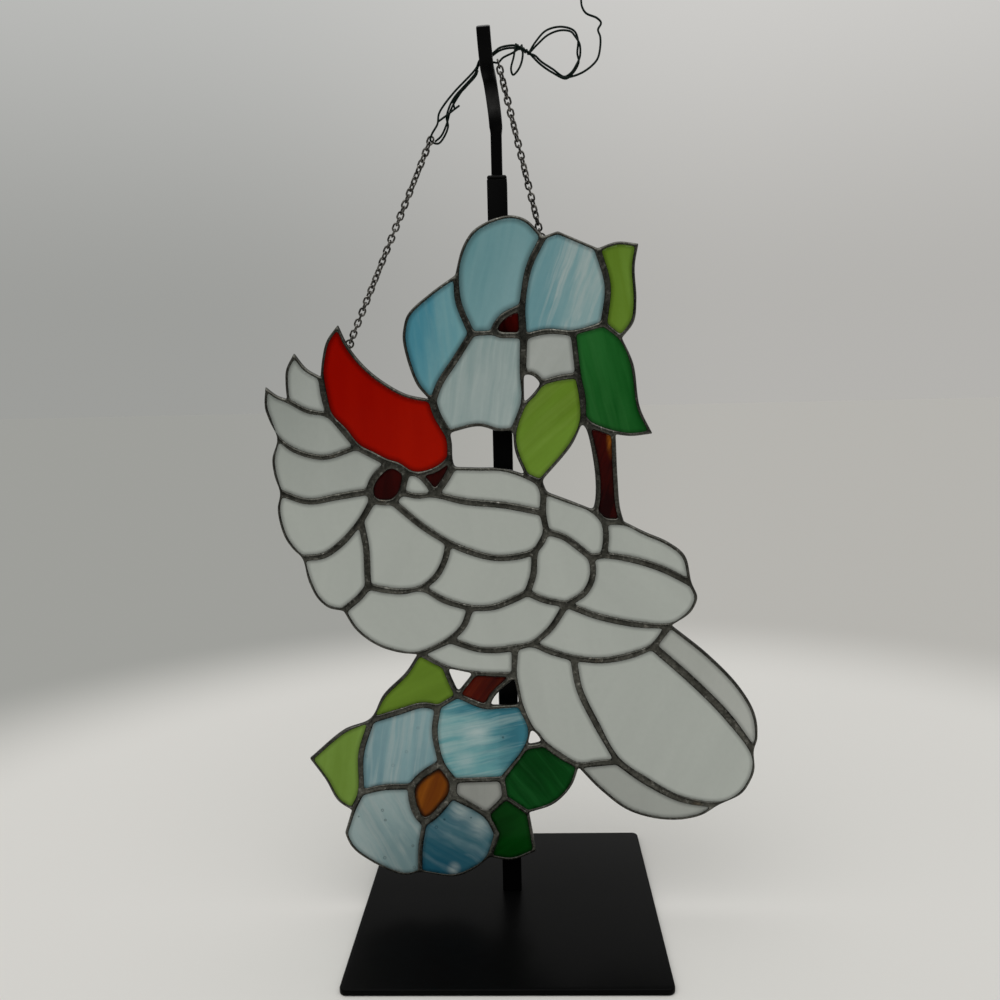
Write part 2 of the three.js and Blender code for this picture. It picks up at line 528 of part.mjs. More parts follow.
// One length of green wire, twisted on itself: it lies over the hook, and both chains hang on it.
function hangerWire() {
  const overHook = [
    [19.3, -1.3, 432.4], [16, -1.3, 434.6], [12.2, -1.5, 436.4], [7.9, -2.2, 436.2],
    [4, -3.1, 434.9], [1.2, -3.6, 432.6], [-2, -3.6, 430.8], [-5.3, -3.3, 429.6],
    [-7.2, -2.6, 426.2], [-17.8, -1.8, 416.1], [-23.3, -2.2, 409.7], [-25.8, -2.4, 405.6],
    [-26.6, -2.6, 400.9], [-29.4, -2.5, 396.4], [-30.4, -1, 394], [-29.2, 0.6, 393.1],
    [-26.7, 0.8, 392.7], [-24.2, 0.2, 394.9], [-21.6, -0.6, 400.3], [-22.2, -1, 404.1],
    [-20.9, -1.2, 408.7], [-18.3, -1.2, 413.3], [-7.6, -1.9, 424.2], [-6.2, -1.9, 427.2],
    [-5, -1.9, 428.6], [-2, -1.9, 428.9], [1.6, -1.9, 428.9], [3.3, -1.9, 428.6], [5.8, -1.8, 430.9],
    [10.7, -1.5, 433.2], [13.4, -1.3, 434.8], [16, -1.3, 434.6],
  ];
  const shortEnd = [
    [14.2, -1.2, 435.4], [7.9, -1.8, 435.2], [4, -2.5, 433.9], [1.2, -2.8, 432],
    [-2, -2.8, 430], [-5, -2.7, 429.3], [-6.6, -2.5, 427], [-7, -2.2, 423.8], [-12.4, -1.2, 418.3],
    [-18.6, -0.8, 411.9], [-18.1, -0.9, 408],
  ];
  const crossEnd = [[-15.9, -0.6, 409.8], [-18.4, -0.9, 408], [-22, -1.6, 405.2], [-26.1, -2.4, 402.2]];
  const smallLoop = [
    [12.2, -1.5, 437.3], [11, -2.2, 431], [9.6, -2.3, 425.4], [10.5, -2.3, 422.7],
    [12.4, -2.1, 424.2], [14.4, -1.9, 427.6], [15.4, -1.6, 432.4], [14.9, -1.3, 436.8],
  ];
  const bigLoop = [
    [18.4, -1.3, 433], [21.4, -1.5, 437.5], [26.7, -1.5, 442.8], [34, -1.3, 444.4],
    [40.2, -1.1, 442.4], [42, -1, 438.2], [41.6, -1, 432], [42.2, -1, 428],
    [39.2, -1, 422.9], [36, -1, 420.6], [29.3, -1.1, 423.7], [23.6, -1.2, 427.7],
    [18.4, -1.3, 433],
  ];
  const longEnd = [
    [34, -1, 421.4], [38.4, -1, 421.4], [45.2, -1.2, 423.8], [51, -1.6, 428.7],
    [52.5, -1.8, 434.1], [52.6, -1.6, 439.2], [51.6, -1.4, 442.4], [53.1, -1.2, 445.6],
    [51.2, -1, 447.9], [46, -0.8, 450.4], [44.1, -0.6, 453.6], [43.7, -0.5, 458],
  ];
  const knot = Array.from({ length: 13 }, (_, i) => {
    const angle = (i / 12) * Math.PI * 6;
    return [12.6 + (i / 12) * 6.4, -1.3 + 0.7 * Math.cos(angle),
      436.2 - (i / 12) * 3.6 + 0.7 * Math.sin(angle)];
  });
  return fuse([
    wireAlong(overHook, WIRE, 2.4), wireAlong(shortEnd, WIRE, 3), wireAlong(crossEnd, WIRE, 3),
    wireAlong(smallLoop, WIRE, 2.4), wireAlong(bigLoop, WIRE, 3), wireAlong(longEnd, WIRE, 3),
    wireAlong(knot, WIRE, 1.3),
  ]);
}

// ---- The panel --------------------------------------------------------------------------------

const regions = regionsOf(strokes.flatMap(runsOf));
const outside = regions.find((region) => areaOf(region) < 0);
const windows = regions.filter((region) => areaOf(region) > 0);

// Panels are drawn flat and then stood up in the hanging plane.
const stood = (geometry) => geometry.rotateX(Math.PI / 2).translate(0, PANEL_Y, 0);

function solderNetwork() {
  const shape = pathOf(THREE.Shape, insetOf(outside).reverse());
  shape.holes = windows.map((region) => pathOf(THREE.Path, insetOf(region)));
  return stood(sheet(shape, SOLDER_THICKNESS));
}

function glassPiece(x, z) {
  const region = windows.find((sides) => isInside(sides, x, z));
  return stood(sheet(pathOf(THREE.Shape, insetOf(region, FIT)), GLASS_THICKNESS));
}

// ---- Assembly ---------------------------------------------------------------------------------

const blackPaint = { color: 0x0c0c0d, roughness: 0.55, metalness: 0.2 };
const patina = { color: 0x2b2a27, roughness: 0.45, metalness: 0.8 };
const blackChain = { color: 0x232120, roughness: 0.4, metalness: 0.85 };
const greenWire = { color: 0x0f2a1e, roughness: 0.5, metalness: 0.1 };

const suncatcher = new THREE.Group();

function addPiece(name, geometry, finish, parent = suncatcher) {
  const mesh = new THREE.Mesh(geometry, new THREE.MeshStandardMaterial(finish));
  mesh.name = name;
  parent.add(mesh);
  return mesh;
}

const post = new THREE.Group();
post.position.set(POST.x, POST.y, 0);
suncatcher.add(post);

addPiece('base_plate', basePlate(), blackPaint);
addPiece('post_tube', postTube(), blackPaint, post);
addPiece('post_cap', postCap(), { ...blackPaint, metalness: 0 }, post);
addPiece('hook_rod', hookRod(), blackPaint, post);

addPiece('solder_network', solderNetwork(), patina);
pieces.forEach(([name, x, z, glass]) => {
  addPiece(`glass_${name}`, glassPiece(x, z), { ...GLASS[glass], transparent: true, opacity: 0.9 });
});

addPiece('hanging_ring_left', hangingRing(), patina).position.set(...LEFT.ring);
addPiece('hanging_ring_right', hangingRing(), patina).position.set(...RIGHT.ring);
addPiece('chain_left', chain(LEFT), blackChain);
addPiece('chain_right', chain(RIGHT), blackChain);
addPiece('hanger_wire', hangerWire(), greenWire);

export default suncatcher;
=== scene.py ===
import math
import random

import bpy
import bmesh
import numpy as np
from mathutils import Matrix, Quaternion, Vector, noise
from mathutils.geometry import delaunay_2d_cdt
from mathutils.kdtree import KDTree


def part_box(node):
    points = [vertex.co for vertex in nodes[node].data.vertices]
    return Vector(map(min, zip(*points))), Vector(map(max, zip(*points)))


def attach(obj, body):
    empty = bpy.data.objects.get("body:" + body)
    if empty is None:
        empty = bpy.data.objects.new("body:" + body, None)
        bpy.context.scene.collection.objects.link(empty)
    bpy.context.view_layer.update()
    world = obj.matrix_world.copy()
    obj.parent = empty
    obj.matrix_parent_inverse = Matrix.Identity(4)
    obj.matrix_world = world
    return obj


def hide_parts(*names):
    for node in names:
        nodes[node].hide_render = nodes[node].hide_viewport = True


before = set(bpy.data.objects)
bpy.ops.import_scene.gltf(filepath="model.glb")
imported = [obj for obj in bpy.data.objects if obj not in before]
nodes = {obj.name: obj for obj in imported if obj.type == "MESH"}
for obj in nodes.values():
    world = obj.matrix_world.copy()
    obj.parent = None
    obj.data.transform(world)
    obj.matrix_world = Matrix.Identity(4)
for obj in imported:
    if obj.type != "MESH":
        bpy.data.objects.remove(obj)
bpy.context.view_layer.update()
MM = 0.001  # in metres: lengths below are in millimetres unless a comment says otherwise
SEED = 7

# ---------------------------------------------------------------- outlines read from the frame

CURVE_STEP, FINE_STEP = 0.4, 0.2  # along a loop, before and after its corners are eased
ROW_RATIO = 0.866  # the height of an even triangle of side 1
CROWDED = 0.27  # points of the edge rows nearer than this are thinned out
SLIVER = 1e-3  # triangles smaller than this along a straight border are left out
EDGE_ROWS = (0.22, 0.5)  # rows of points that follow the solder's borders


def front_loops(node):
    """The outlines of a flat upright node's front face, as arrays of (x, z) in millimetres."""
    mesh = nodes[node].data
    co = np.array([v.co for v in mesh.vertices]) / MM
    front = co[:, 1].min()
    key = {}
    ids = [key.setdefault((round(x, 3), round(z, 3)), len(key)) for x, _, z in co]
    points = np.array(list(key))
    used = {}  # directed sides, in the order of the faces
    for face in mesh.polygons:
        if all(co[v][1] < front + 0.01 for v in face.vertices):
            ring = [ids[v] for v in face.vertices]
            for a, b in zip(ring, ring[1:] + ring[:1]):
                used[(a, b)] = True
    following = {a: b for a, b in used if (b, a) not in used}
    loops = []
    while following:
        start, at = following.popitem()
        loop = [start]
        while at != start:
            loop.append(at)
            at = following.pop(at)
        loops.append(points[loop])
    return loops


def centripetal(points, step, closed=False):
    """A centripetal Catmull-Rom curve through points of any dimension, sampled about every step."""
    p = np.asarray(points, float)
    ends = (p[-1:], p[:2]) if closed else (2 * p[:1] - p[1:2], 2 * p[-1:] - p[-2:-1])
    q = np.vstack([ends[0], p, ends[1]])
    spans = len(p) if closed else len(p) - 1
    out = []
    for i in range(spans):
        a, b, c, d = q[i:i + 4]
        t1 = max(np.linalg.norm(b - a), 1e-6) ** 0.5
        t2 = t1 + max(np.linalg.norm(c - b), 1e-6) ** 0.5
        t3 = t2 + max(np.linalg.norm(d - c), 1e-6) ** 0.5
        count = max(1, int(round(np.linalg.norm(c - b) / step)))
        for t in np.linspace(t1, t2, count, endpoint=False):
            ab = a + (b - a) * (t / t1)
            bc = b + (c - b) * ((t - t1) / (t2 - t1))
            cd = c + (d - c) * ((t - t2) / (t3 - t2))
            abc = ab + (bc - ab) * (t / t2)
            bcd = bc + (cd - bc) * ((t - t1) / (t3 - t1))
            out.append(abc + (bcd - abc) * ((t - t1) / (t2 - t1)))
    if not closed:
        out.append(p[-1])
    return np.array(out)


def resample(loop, spacing):
    """A closed loop at an even spacing."""
    ring = np.vstack([loop, loop[:1]])
    run = np.concatenate([[0], np.cumsum(np.linalg.norm(np.diff(ring, axis=0), axis=1))])
    count = max(8, int(round(run[-1] / spacing)))
    at = np.linspace(0, run[-1], count, endpoint=False)
    return np.stack([np.interp(at, run, ring[:, k]) for k in (0, 1)], 1)


def softened_loop(loop, spacing, soften, corner=38):
    """Curved stretches made round, corners kept, then both eased by about soften millimetres."""
    way = np.roll(loop, -1, 0) - loop
    angle = np.arctan2(way[:, 1], way[:, 0])
    turn = np.abs((angle - np.roll(angle, 1) + math.pi) % (2 * math.pi) - math.pi)
    corners = np.flatnonzero(turn > math.radians(corner))
    if len(corners) == 0:
        dense = centripetal(loop, closed=True, step=CURVE_STEP)
    else:
        ring = np.roll(loop, -corners[0], 0)
        marks = list(corners - corners[0]) + [len(loop)]
        ring = np.vstack([ring, ring[:1]])
        dense = np.vstack([centripetal(ring[a:b + 1], step=CURVE_STEP)[:-1]
                           for a, b in zip(marks, marks[1:])])
    even = resample(dense, FINE_STEP)
    reach = int(3 * soften / FINE_STEP)
    weights = np.exp(-0.5 * (np.arange(-reach, reach + 1) * FINE_STEP / soften) ** 2)
    weights /= weights.sum()
    eased = sum(w * np.roll(even, k, 0) for w, k in zip(weights, range(-reach, reach + 1)))
    return resample(eased, spacing)


def offset_loop(loop, distance):
    """A loop moved out of its own inside by distance."""
    way = np.roll(loop, -1, 0) - np.roll(loop, 1, 0)
    way /= np.linalg.norm(way, axis=1)[:, None]
    return loop + np.stack([way[:, 1], -way[:, 0]], 1) * distance * np.sign(area(loop))


def area(loop):
    """The area that a loop goes round, below zero where it runs clockwise."""
    x, y = loop.T
    return 0.5 * np.sum(x * np.roll(y, -1) - np.roll(x, -1) * y)


def inside(points, loops):
    """Which points an odd number of the loops hold."""
    result = np.zeros(len(points), bool)
    for loop in loops:
        low, high = loop.min(0), loop.max(0)
        near = np.flatnonzero(((points >= low) & (points <= high)).all(1))
        x, y = points[near].T
        hit = np.zeros(len(near), bool)
        for (x0, y0), (x1, y1) in zip(loop, np.roll(loop, -1, 0)):
            if y0 != y1:
                hit ^= ((y0 > y) != (y1 > y)) & (x < x0 + (y - y0) / (y1 - y0) * (x1 - x0))
        result[near] ^= hit
    return result


def distance_to(points, loops, far=6.0):
    """Each point's distance to the nearest side of the loops, up to far."""
    best = np.full(len(points), far)
    for loop in loops:
        low, high = loop.min(0) - far, loop.max(0) + far
        near = np.flatnonzero(((points >= low) & (points <= high)).all(1))
        p = points[near]
        for a, b in zip(loop, np.roll(loop, -1, 0)):
            close = np.flatnonzero(np.abs(p - (a + b) / 2).max(1) < far)
            q = p[close]
            t = np.clip(((q - a) @ (b - a)) / ((b - a) @ (b - a)), 0, 1)
            d = np.linalg.norm(q - a - t[:, None] * (b - a), axis=1)
            best[near[close]] = np.minimum(best[near[close]], d)
    return best


def hex_grid(loops, spacing, clearance):
    """Evenly packed points inside the loops, no nearer than clearance to any of them."""
    low = np.min([loop.min(0) for loop in loops], 0)
    high = np.max([loop.max(0) for loop in loops], 0)
    rows = np.arange(low[1], high[1], spacing * ROW_RATIO)
    cols = np.arange(low[0], high[0], spacing)
    points = np.array([(x + (i % 2) * spacing / 2, y) for i, y in enumerate(rows) for x in cols])
    points = points[inside(points, loops)]
    return points[distance_to(points, loops, far=max(2.5, clearance * 2)) > clearance]


def edge_rows(loops, distances):
    """Points that follow the loops at set distances on the inner side, thinned where they crowd."""
    rows = []
    for distance in distances:
        for loop in loops:
            ring = offset_loop(loop, distance)
            if not inside(ring[:1], loops)[0]:
                ring = offset_loop(loop, -distance)
            rows.append(ring)
    points = np.vstack(rows)
    points = points[inside(points, loops)]
    wanted = distance_to(points, loops, far=2.0)
    points = points[np.min(np.abs(wanted[:, None] - np.array(distances)), 1) < 0.05]
    tree = KDTree(len(points))
    for i, p in enumerate(points):
        tree.insert((*p, 0), i)
    tree.balance()
    kept = np.ones(len(points), bool)
    for i, p in enumerate(points):
        if kept[i]:
            for _, j, _ in tree.find_range((*p, 0), CROWDED):
                if j > i:
                    kept[j] = False
    return points[kept]


def flat_mesh(loops, spacing, clearance, rows=()):
    """Triangles that fill the loops: (points, triangles, number of points on the loops)."""
    inner = hex_grid(loops, spacing, clearance)
    if rows:
        inner = np.vstack([edge_rows(loops, rows), inner])
    points = np.vstack(loops + [inner])
    edges, at = [], 0
    for loop in loops:
        index = list(range(at, at + len(loop)))
        edges += list(zip(index, index[1:] + index[:1]))
        at += len(loop)
    result = delaunay_2d_cdt([Vector(p) for p in points], edges, [], 0, 1e-7)
    if len(result[0]) != len(points):
        raise ValueError("the outlines touch")
    triangles = np.array([f for f in result[2] if len(f) == 3])
    a, b, c = points[triangles].transpose(1, 0, 2)
    size = np.abs((b - a)[:, 0] * (c - a)[:, 1] - (b - a)[:, 1] * (c - a)[:, 0]) / 2
    sliver = (size < SLIVER) & (triangles < at).all(1)
    return points, triangles[inside((a + b + c) / 3, loops) & ~sliver], at


# ---------------------------------------------------------------- meshes and pieces


def mesh_object(name, vertices, faces, smooth=True):
    """A new object in the scene, from vertices in metres."""
    mesh = bpy.data.meshes.new(name)
    mesh.from_pydata([tuple(v) for v in vertices], [], [tuple(f) for f in faces])
    mesh.validate()
    if smooth:
        mesh.shade_smooth()
    obj = bpy.data.objects.new(name, mesh)
    bpy.context.scene.collection.objects.link(obj)
    return obj


def dress(obj, material, node):
    """Gives a piece its material and its place on the frame, and hides the node that it stands for.
    """
    obj.data.materials.clear()
    obj.data.materials.append(material)
    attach(obj, "root")
    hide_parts(node)


def value_layer(obj, name, values):
    layer = obj.data.attributes.new(name, "FLOAT", "POINT")
    layer.data.foreach_set("value", np.asarray(values, np.float32))


def plate_between(name, flat, front, back, middle):
    """A closed body: the flat mesh raised to front and lowered to back, about y=middle."""
    points, triangles, _ = flat
    n = len(points)
    vertices = np.empty((2 * n, 3))
    vertices[:n] = np.stack([points[:, 0], middle - front, points[:, 1]], 1)
    vertices[n:] = np.stack([points[:, 0], middle + back, points[:, 1]], 1)
    a, b, c = points[triangles[0]]
    ccw = (b[0] - a[0]) * (c[1] - a[1]) - (b[1] - a[1]) * (c[0] - a[0]) > 0
    faces = [tuple(t) if ccw else tuple(t[::-1]) for t in triangles]
    faces += [tuple(v + n for v in reversed(f)) for f in faces]
    sides = {(f[i], f[(i + 1) % 3]) for f in faces[:len(triangles)] for i in range(3)}
    for u, v in sides:
        if (v, u) not in sides:
            faces.append((v, u, u + n, v + n))
    return mesh_object(name, vertices * MM, faces)


FLAT_WITHIN, BEVEL_FROM, SHARP_FROM = (math.radians(angle) for angle in (0.5, 40, 35))


def from_node(name, node, width):
    """A copy of a node with its sharp edges rounded over width, in metres."""
    obj = bpy.data.objects.new(name, nodes[node].data.copy())
    bpy.context.scene.collection.objects.link(obj)
    bm = bmesh.new()
    bm.from_mesh(obj.data)
    bmesh.ops.remove_doubles(bm, verts=bm.verts, dist=1e-5)
    bmesh.ops.dissolve_limit(bm, angle_limit=FLAT_WITHIN, verts=bm.verts, edges=bm.edges)
    bm.to_mesh(obj.data)
    bm.free()
    bevel = obj.modifiers.new("round", "BEVEL")
    bevel.width = width
    bevel.segments = 3
    bevel.limit_method = "ANGLE"
    bevel.angle_limit = BEVEL_FROM
    depsgraph = bpy.context.evaluated_depsgraph_get()
    mesh = bpy.data.meshes.new_from_object(obj.evaluated_get(depsgraph))
    obj.modifiers.clear()
    obj.data = mesh
    mesh.shade_smooth()
    mesh.set_sharp_from_angle(angle=SHARP_FROM)
    return obj


ASKEW = (0.3, 1, 0.2)  # a direction that no wire starts along
END_BULGE = 0.6  # how far a wire's end stands out, in radii


def tube(points, radius, sides, closed=False, taper=None):
    """Vertices and faces of a round wire along points, with rounded ends when open."""
    p = np.asarray(points, float)
    n = len(p)
    way = np.roll(p, -1, 0) - np.roll(p, 1, 0) if closed else np.gradient(p, axis=0)
    way /= np.linalg.norm(way, axis=1)[:, None]
    normal = np.cross(way[0], ASKEW)
    rings = []
    for i in range(n):
        normal = normal - way[i] * (normal @ way[i])
        normal /= np.linalg.norm(normal)
        other = np.cross(way[i], normal)
        size = radius * (taper[i] if taper is not None else 1)
        turn = np.arange(sides) * 2 * math.pi / sides
        rings.append(p[i] + size * (np.cos(turn)[:, None] * normal + np.sin(turn)[:, None] * other))
    vertices = np.vstack(rings)
    faces = []
    for i in range(n if closed else n - 1):
        j = (i + 1) % n
        for k in range(sides):
            m = (k + 1) % sides
            faces.append((i * sides + k, i * sides + m, j * sides + m, j * sides + k))
    if not closed:
        for ring, outward, flip in ((0, -way[0], True), (n - 1, way[-1], False)):
            centre = len(vertices)
            vertices = np.vstack([vertices, p[ring] + outward * radius * END_BULGE])
            for k in range(sides):
                pair = (ring * sides + k, ring * sides + (k + 1) % sides)
                faces.append((centre, *(pair[::-1] if flip else pair)))
    return vertices, faces


def joined(parts):
    """Several sets of vertices and faces as one."""
    vertices, faces, at = [], [], 0
    for v, f in parts:
        vertices.append(v)
        faces += [tuple(i + at for i in face) for face in f]
        at += len(v)
    return np.vstack(vertices), faces


# ---------------------------------------------------------------- material building


class Nodes:
    """A small helper that adds and links the nodes of a tree."""

    def __init__(self, tree):
        self.tree = tree

    def add(self, kind, inputs=None, **settings):
        node = self.tree.nodes.new("ShaderNode" + kind)
        for key, value in settings.items():
            setattr(node, key, value)
        for key, value in (inputs or {}).items():
            self.put(node.inputs[key], value)
        return node

    def put(self, socket, value):
        if isinstance(value, bpy.types.NodeSocket):
            self.tree.links.new(value, socket)
        else:
            socket.default_value = value

    def place(self, scale=(1, 1, 1), turn=0.0, shift=(0, 0, 0)):
        """Object coordinates in millimetres, turned in the panel's plane, then scaled."""
        coordinates = self.add("TexCoord").outputs["Object"]
        turned = self.add("Mapping", {"Vector": coordinates, "Rotation": (0, math.radians(turn), 0),
                                      "Scale": (1000, 1000, 1000)}).outputs[0]
        return self.add("Mapping", {"Vector": turned, "Scale": scale,
                                    "Location": shift}).outputs[0]

    def stretched(self, across, along, turn, shift=0.0, wave=0.0):
        """Coordinates that pull a texture out along one direction of the panel, in gentle waves."""
        at = self.place(turn=turn)
        if wave:
            sway = self.add("TexNoise", {"Vector": at, "Scale": 0.05, "Detail": 2.0})
            centred = self.vectors("SUBTRACT", sway.outputs["Color"], (0.5, 0.5, 0.5))
            at = self.vectors("ADD", at, self.vectors("MULTIPLY", centred, (wave, wave, wave)))
        return self.add("Mapping", {"Vector": at, "Scale": (across, across, along),
                                    "Location": (shift, 0, shift * 0.37)}).outputs[0]

    def noise(self, vector, scale, detail, roughness=0.55, distortion=0.0):
        node = self.add("TexNoise", {"Vector": vector, "Scale": scale, "Detail": detail,
                                     "Roughness": roughness, "Distortion": distortion})
        return node.outputs["Fac"]

    def ramp(self, value, stops):
        """A grey from 0 to 1 between stops, each a place and its grey."""
        node = self.add("ValToRGB", {"Fac": value})
        while len(node.color_ramp.elements) < len(stops):
            node.color_ramp.elements.new(0.5)
        for element, (at, colour) in zip(node.color_ramp.elements, stops):
            element.position = at
            element.color = (colour, colour, colour, 1)
        return node.outputs["Color"]

    def mix(self, factor, a, b, blend="MIX"):
        node = self.add("Mix", data_type="RGBA", blend_type=blend)
        colour = [s for s in node.inputs if s.type == "RGBA"]
        self.put(node.inputs[0], factor)
        for socket, value in zip(colour, (a, b)):
            self.put(socket, (*value, 1) if isinstance(value, tuple) and len(value) == 3 else value)
        return [s for s in node.outputs if s.type == "RGBA"][0]

    def maths(self, operation, a, b=0.0):
        node = self.add("Math", operation=operation)
        self.put(node.inputs[0], a)
        self.put(node.inputs[1], b)
        return node.outputs[0]

    def scaled(self, value, times, plus=0.0):
        product = self.maths("MULTIPLY", value, times)
        return self.maths("ADD", product, plus) if plus else product

    def vectors(self, operation, a, b):
        return self.add("VectorMath", {0: a, 1: b}, operation=operation).outputs[0]

    def fade(self, value, start, end, low=0.0, high=1.0):
        """low up to start, high from end on, and smooth between them."""
        node = self.add("MapRange", {"Value": value, "From Min": start, "From Max": end,
                                     "To Min": low, "To Max": high})
        node.interpolation_type = "SMOOTHSTEP"
        return node.outputs[0]

    def layer(self, name):
        return self.add("Attribute", attribute_name=name).outputs["Fac"]

    def bump(self, height, distance, strength, below=None):
        inputs = {"Height": height, "Distance": distance * MM, "Strength": strength}
        if below is not None:
            inputs["Normal"] = below
        return self.add("Bump", inputs).outputs[0]


class Look(Nodes):
    """The nodes of a new material."""

    def __init__(self, name):
        self.material = bpy.data.materials.new(name)
        self.material.use_nodes = True
        super().__init__(self.material.node_tree)

    def surface(self, **values):
        shader = self.tree.nodes["Principled BSDF"]
        for key, value in values.items():
            self.put(shader.inputs[key.replace("_", " ")], value)


def black_paint(name, gloss, painted_sheens=()):
    """Fine-textured black powder coat with specks of dust and a few faint rubs.

    painted_sheens lists heights in millimetres with a painted sheen, each with its reach and its
    grey.
    """
    n = Look(name)
    at = n.place()
    grain = n.noise(at, 2.2, 4)
    cloud = n.noise(at, 0.02, 3)
    specks = n.ramp(n.noise(at, 0.9, 2, 0.4), [(0.0, 0.0), (0.77, 0.0), (0.8, 1.0), (1.0, 1.0)])
    rub = n.noise(n.place((0.05, 0.6, 0.05), 0, (3, 1, 2)), 1.0, 4, 0.6, 1.2)
    rubs = n.ramp(rub, [(0.0, 0.0), (0.7, 0.0), (0.74, 0.5), (1.0, 0.5)])
    colour = n.mix(cloud, (0.0012, 0.0012, 0.0013), (0.0026, 0.0026, 0.0027))
    colour = n.mix(n.scaled(specks, 0.3), colour, (0.07, 0.068, 0.06))
    height = n.add("SeparateXYZ", {"Vector": at}).outputs[2]
    # Painted sheen and highlight: grey mixed in by height where the leaning arm and the tip's top
    # catch light.
    for centre, reach, tone in painted_sheens:
        away = n.maths("ABSOLUTE", n.maths("SUBTRACT", height, centre))
        near = n.fade(away, 0.0, reach, 1.0, 0.0)
        patchy = n.ramp(n.noise(at, 0.12, 3), [(0.35, 0.4), (0.6, 1.0)])
        colour = n.mix(n.maths("MULTIPLY", near, patchy), colour, (tone, tone, tone))
    n.surface(Base_Color=n.mix(n.scaled(rubs, 0.2), colour, (0.02, 0.02, 0.02)),
              Roughness=n.scaled(grain, 0.16, 0.26),
              Specular_IOR_Level=gloss, Normal=n.bump(grain, 0.02, 0.4))
    return n.material


def black_plastic():
    """The moulded plug's slightly shinier black."""
    n = Look("black_plastic")
    grain = n.noise(n.place(), 1.4, 3)
    n.surface(Base_Color=n.mix(grain, (0.0015, 0.0015, 0.0015), (0.004, 0.004, 0.004)),
              Roughness=n.scaled(grain, 0.15, 0.3),
              Specular_IOR_Level=0.05, Normal=n.bump(grain, 0.015, 0.5))
    return n.material


def solder():
    """Solder under a patchy dark patina: bright where rubbed, black beside the glass."""
    n = Look("patinated_solder")
    at = n.place()
    patch = n.noise(at, 0.16, 4, 0.55)
    fine = n.noise(at, 0.8, 4, 0.6)
    tone = n.mix(n.ramp(patch, [(0.34, 0.0), (0.66, 1.0)]),
                 (0.040, 0.040, 0.033), (0.108, 0.107, 0.092))
    tone = n.mix(n.ramp(fine, [(0.36, 0.65), (0.56, 0.0)]), tone, (0.03, 0.03, 0.025))
    worn = n.ramp(n.noise(at, 0.4, 4, 0.65), [(0.58, 0.0), (0.74, 0.55)])
    tone = n.mix(worn, tone, (0.36, 0.355, 0.32))
    blush = n.ramp(n.noise(at, 0.1, 3, 0.6), [(0.66, 0.0), (0.78, 0.3)])
    tone = n.mix(blush, tone, (0.17, 0.12, 0.07))
    rim = n.fade(n.layer("edge"), 0.12, 0.5, 1.0, 0.0)
    tone = n.mix(n.scaled(rim, 0.9), tone, (0.008, 0.008, 0.007))
    n.surface(Base_Color=tone, Metallic=0.8, Roughness=n.scaled(patch, 0.24, 0.16),
              Specular_IOR_Level=0.3, Normal=n.bump(patch, 0.4, 0.5, n.bump(fine, 0.12, 0.55)))
    return n.material


def chain_metal():
    """Blackened metal, worn bright in patches."""
    n = Look("black_chain_metal")
    at = n.place()
    worn = n.ramp(n.noise(at, 0.7, 4, 0.6), [(0.40, 0.0), (0.66, 1.0)])
    grain = n.noise(at, 3.0, 3)
    n.surface(Base_Color=n.mix(worn, (0.016, 0.015, 0.013), (0.25, 0.24, 0.22)),
              Metallic=0.9, Roughness=n.scaled(grain, 0.25, 0.22),
              Normal=n.bump(grain, 0.03, 0.6))
    return n.material


def green_enamel():
    """The wire's very dark green enamel."""
    n = Look("green_wire")
    at = n.place()
    worn = n.ramp(n.noise(at, 0.6, 4, 0.6), [(0.55, 0.0), (0.75, 0.7)])
    grain = n.noise(at, 2.5, 3)
    n.surface(Base_Color=n.mix(worn, (0.001, 0.007, 0.0045), (0.008, 0.012, 0.01)),
              Roughness=n.scaled(grain, 0.2, 0.35),
              Specular_IOR_Level=0.12, Normal=n.bump(grain, 0.03, 0.5))
    return n.material


WHITE = (0.50, 0.60, 0.59)  # the cloudy white in the flowers' blue glass


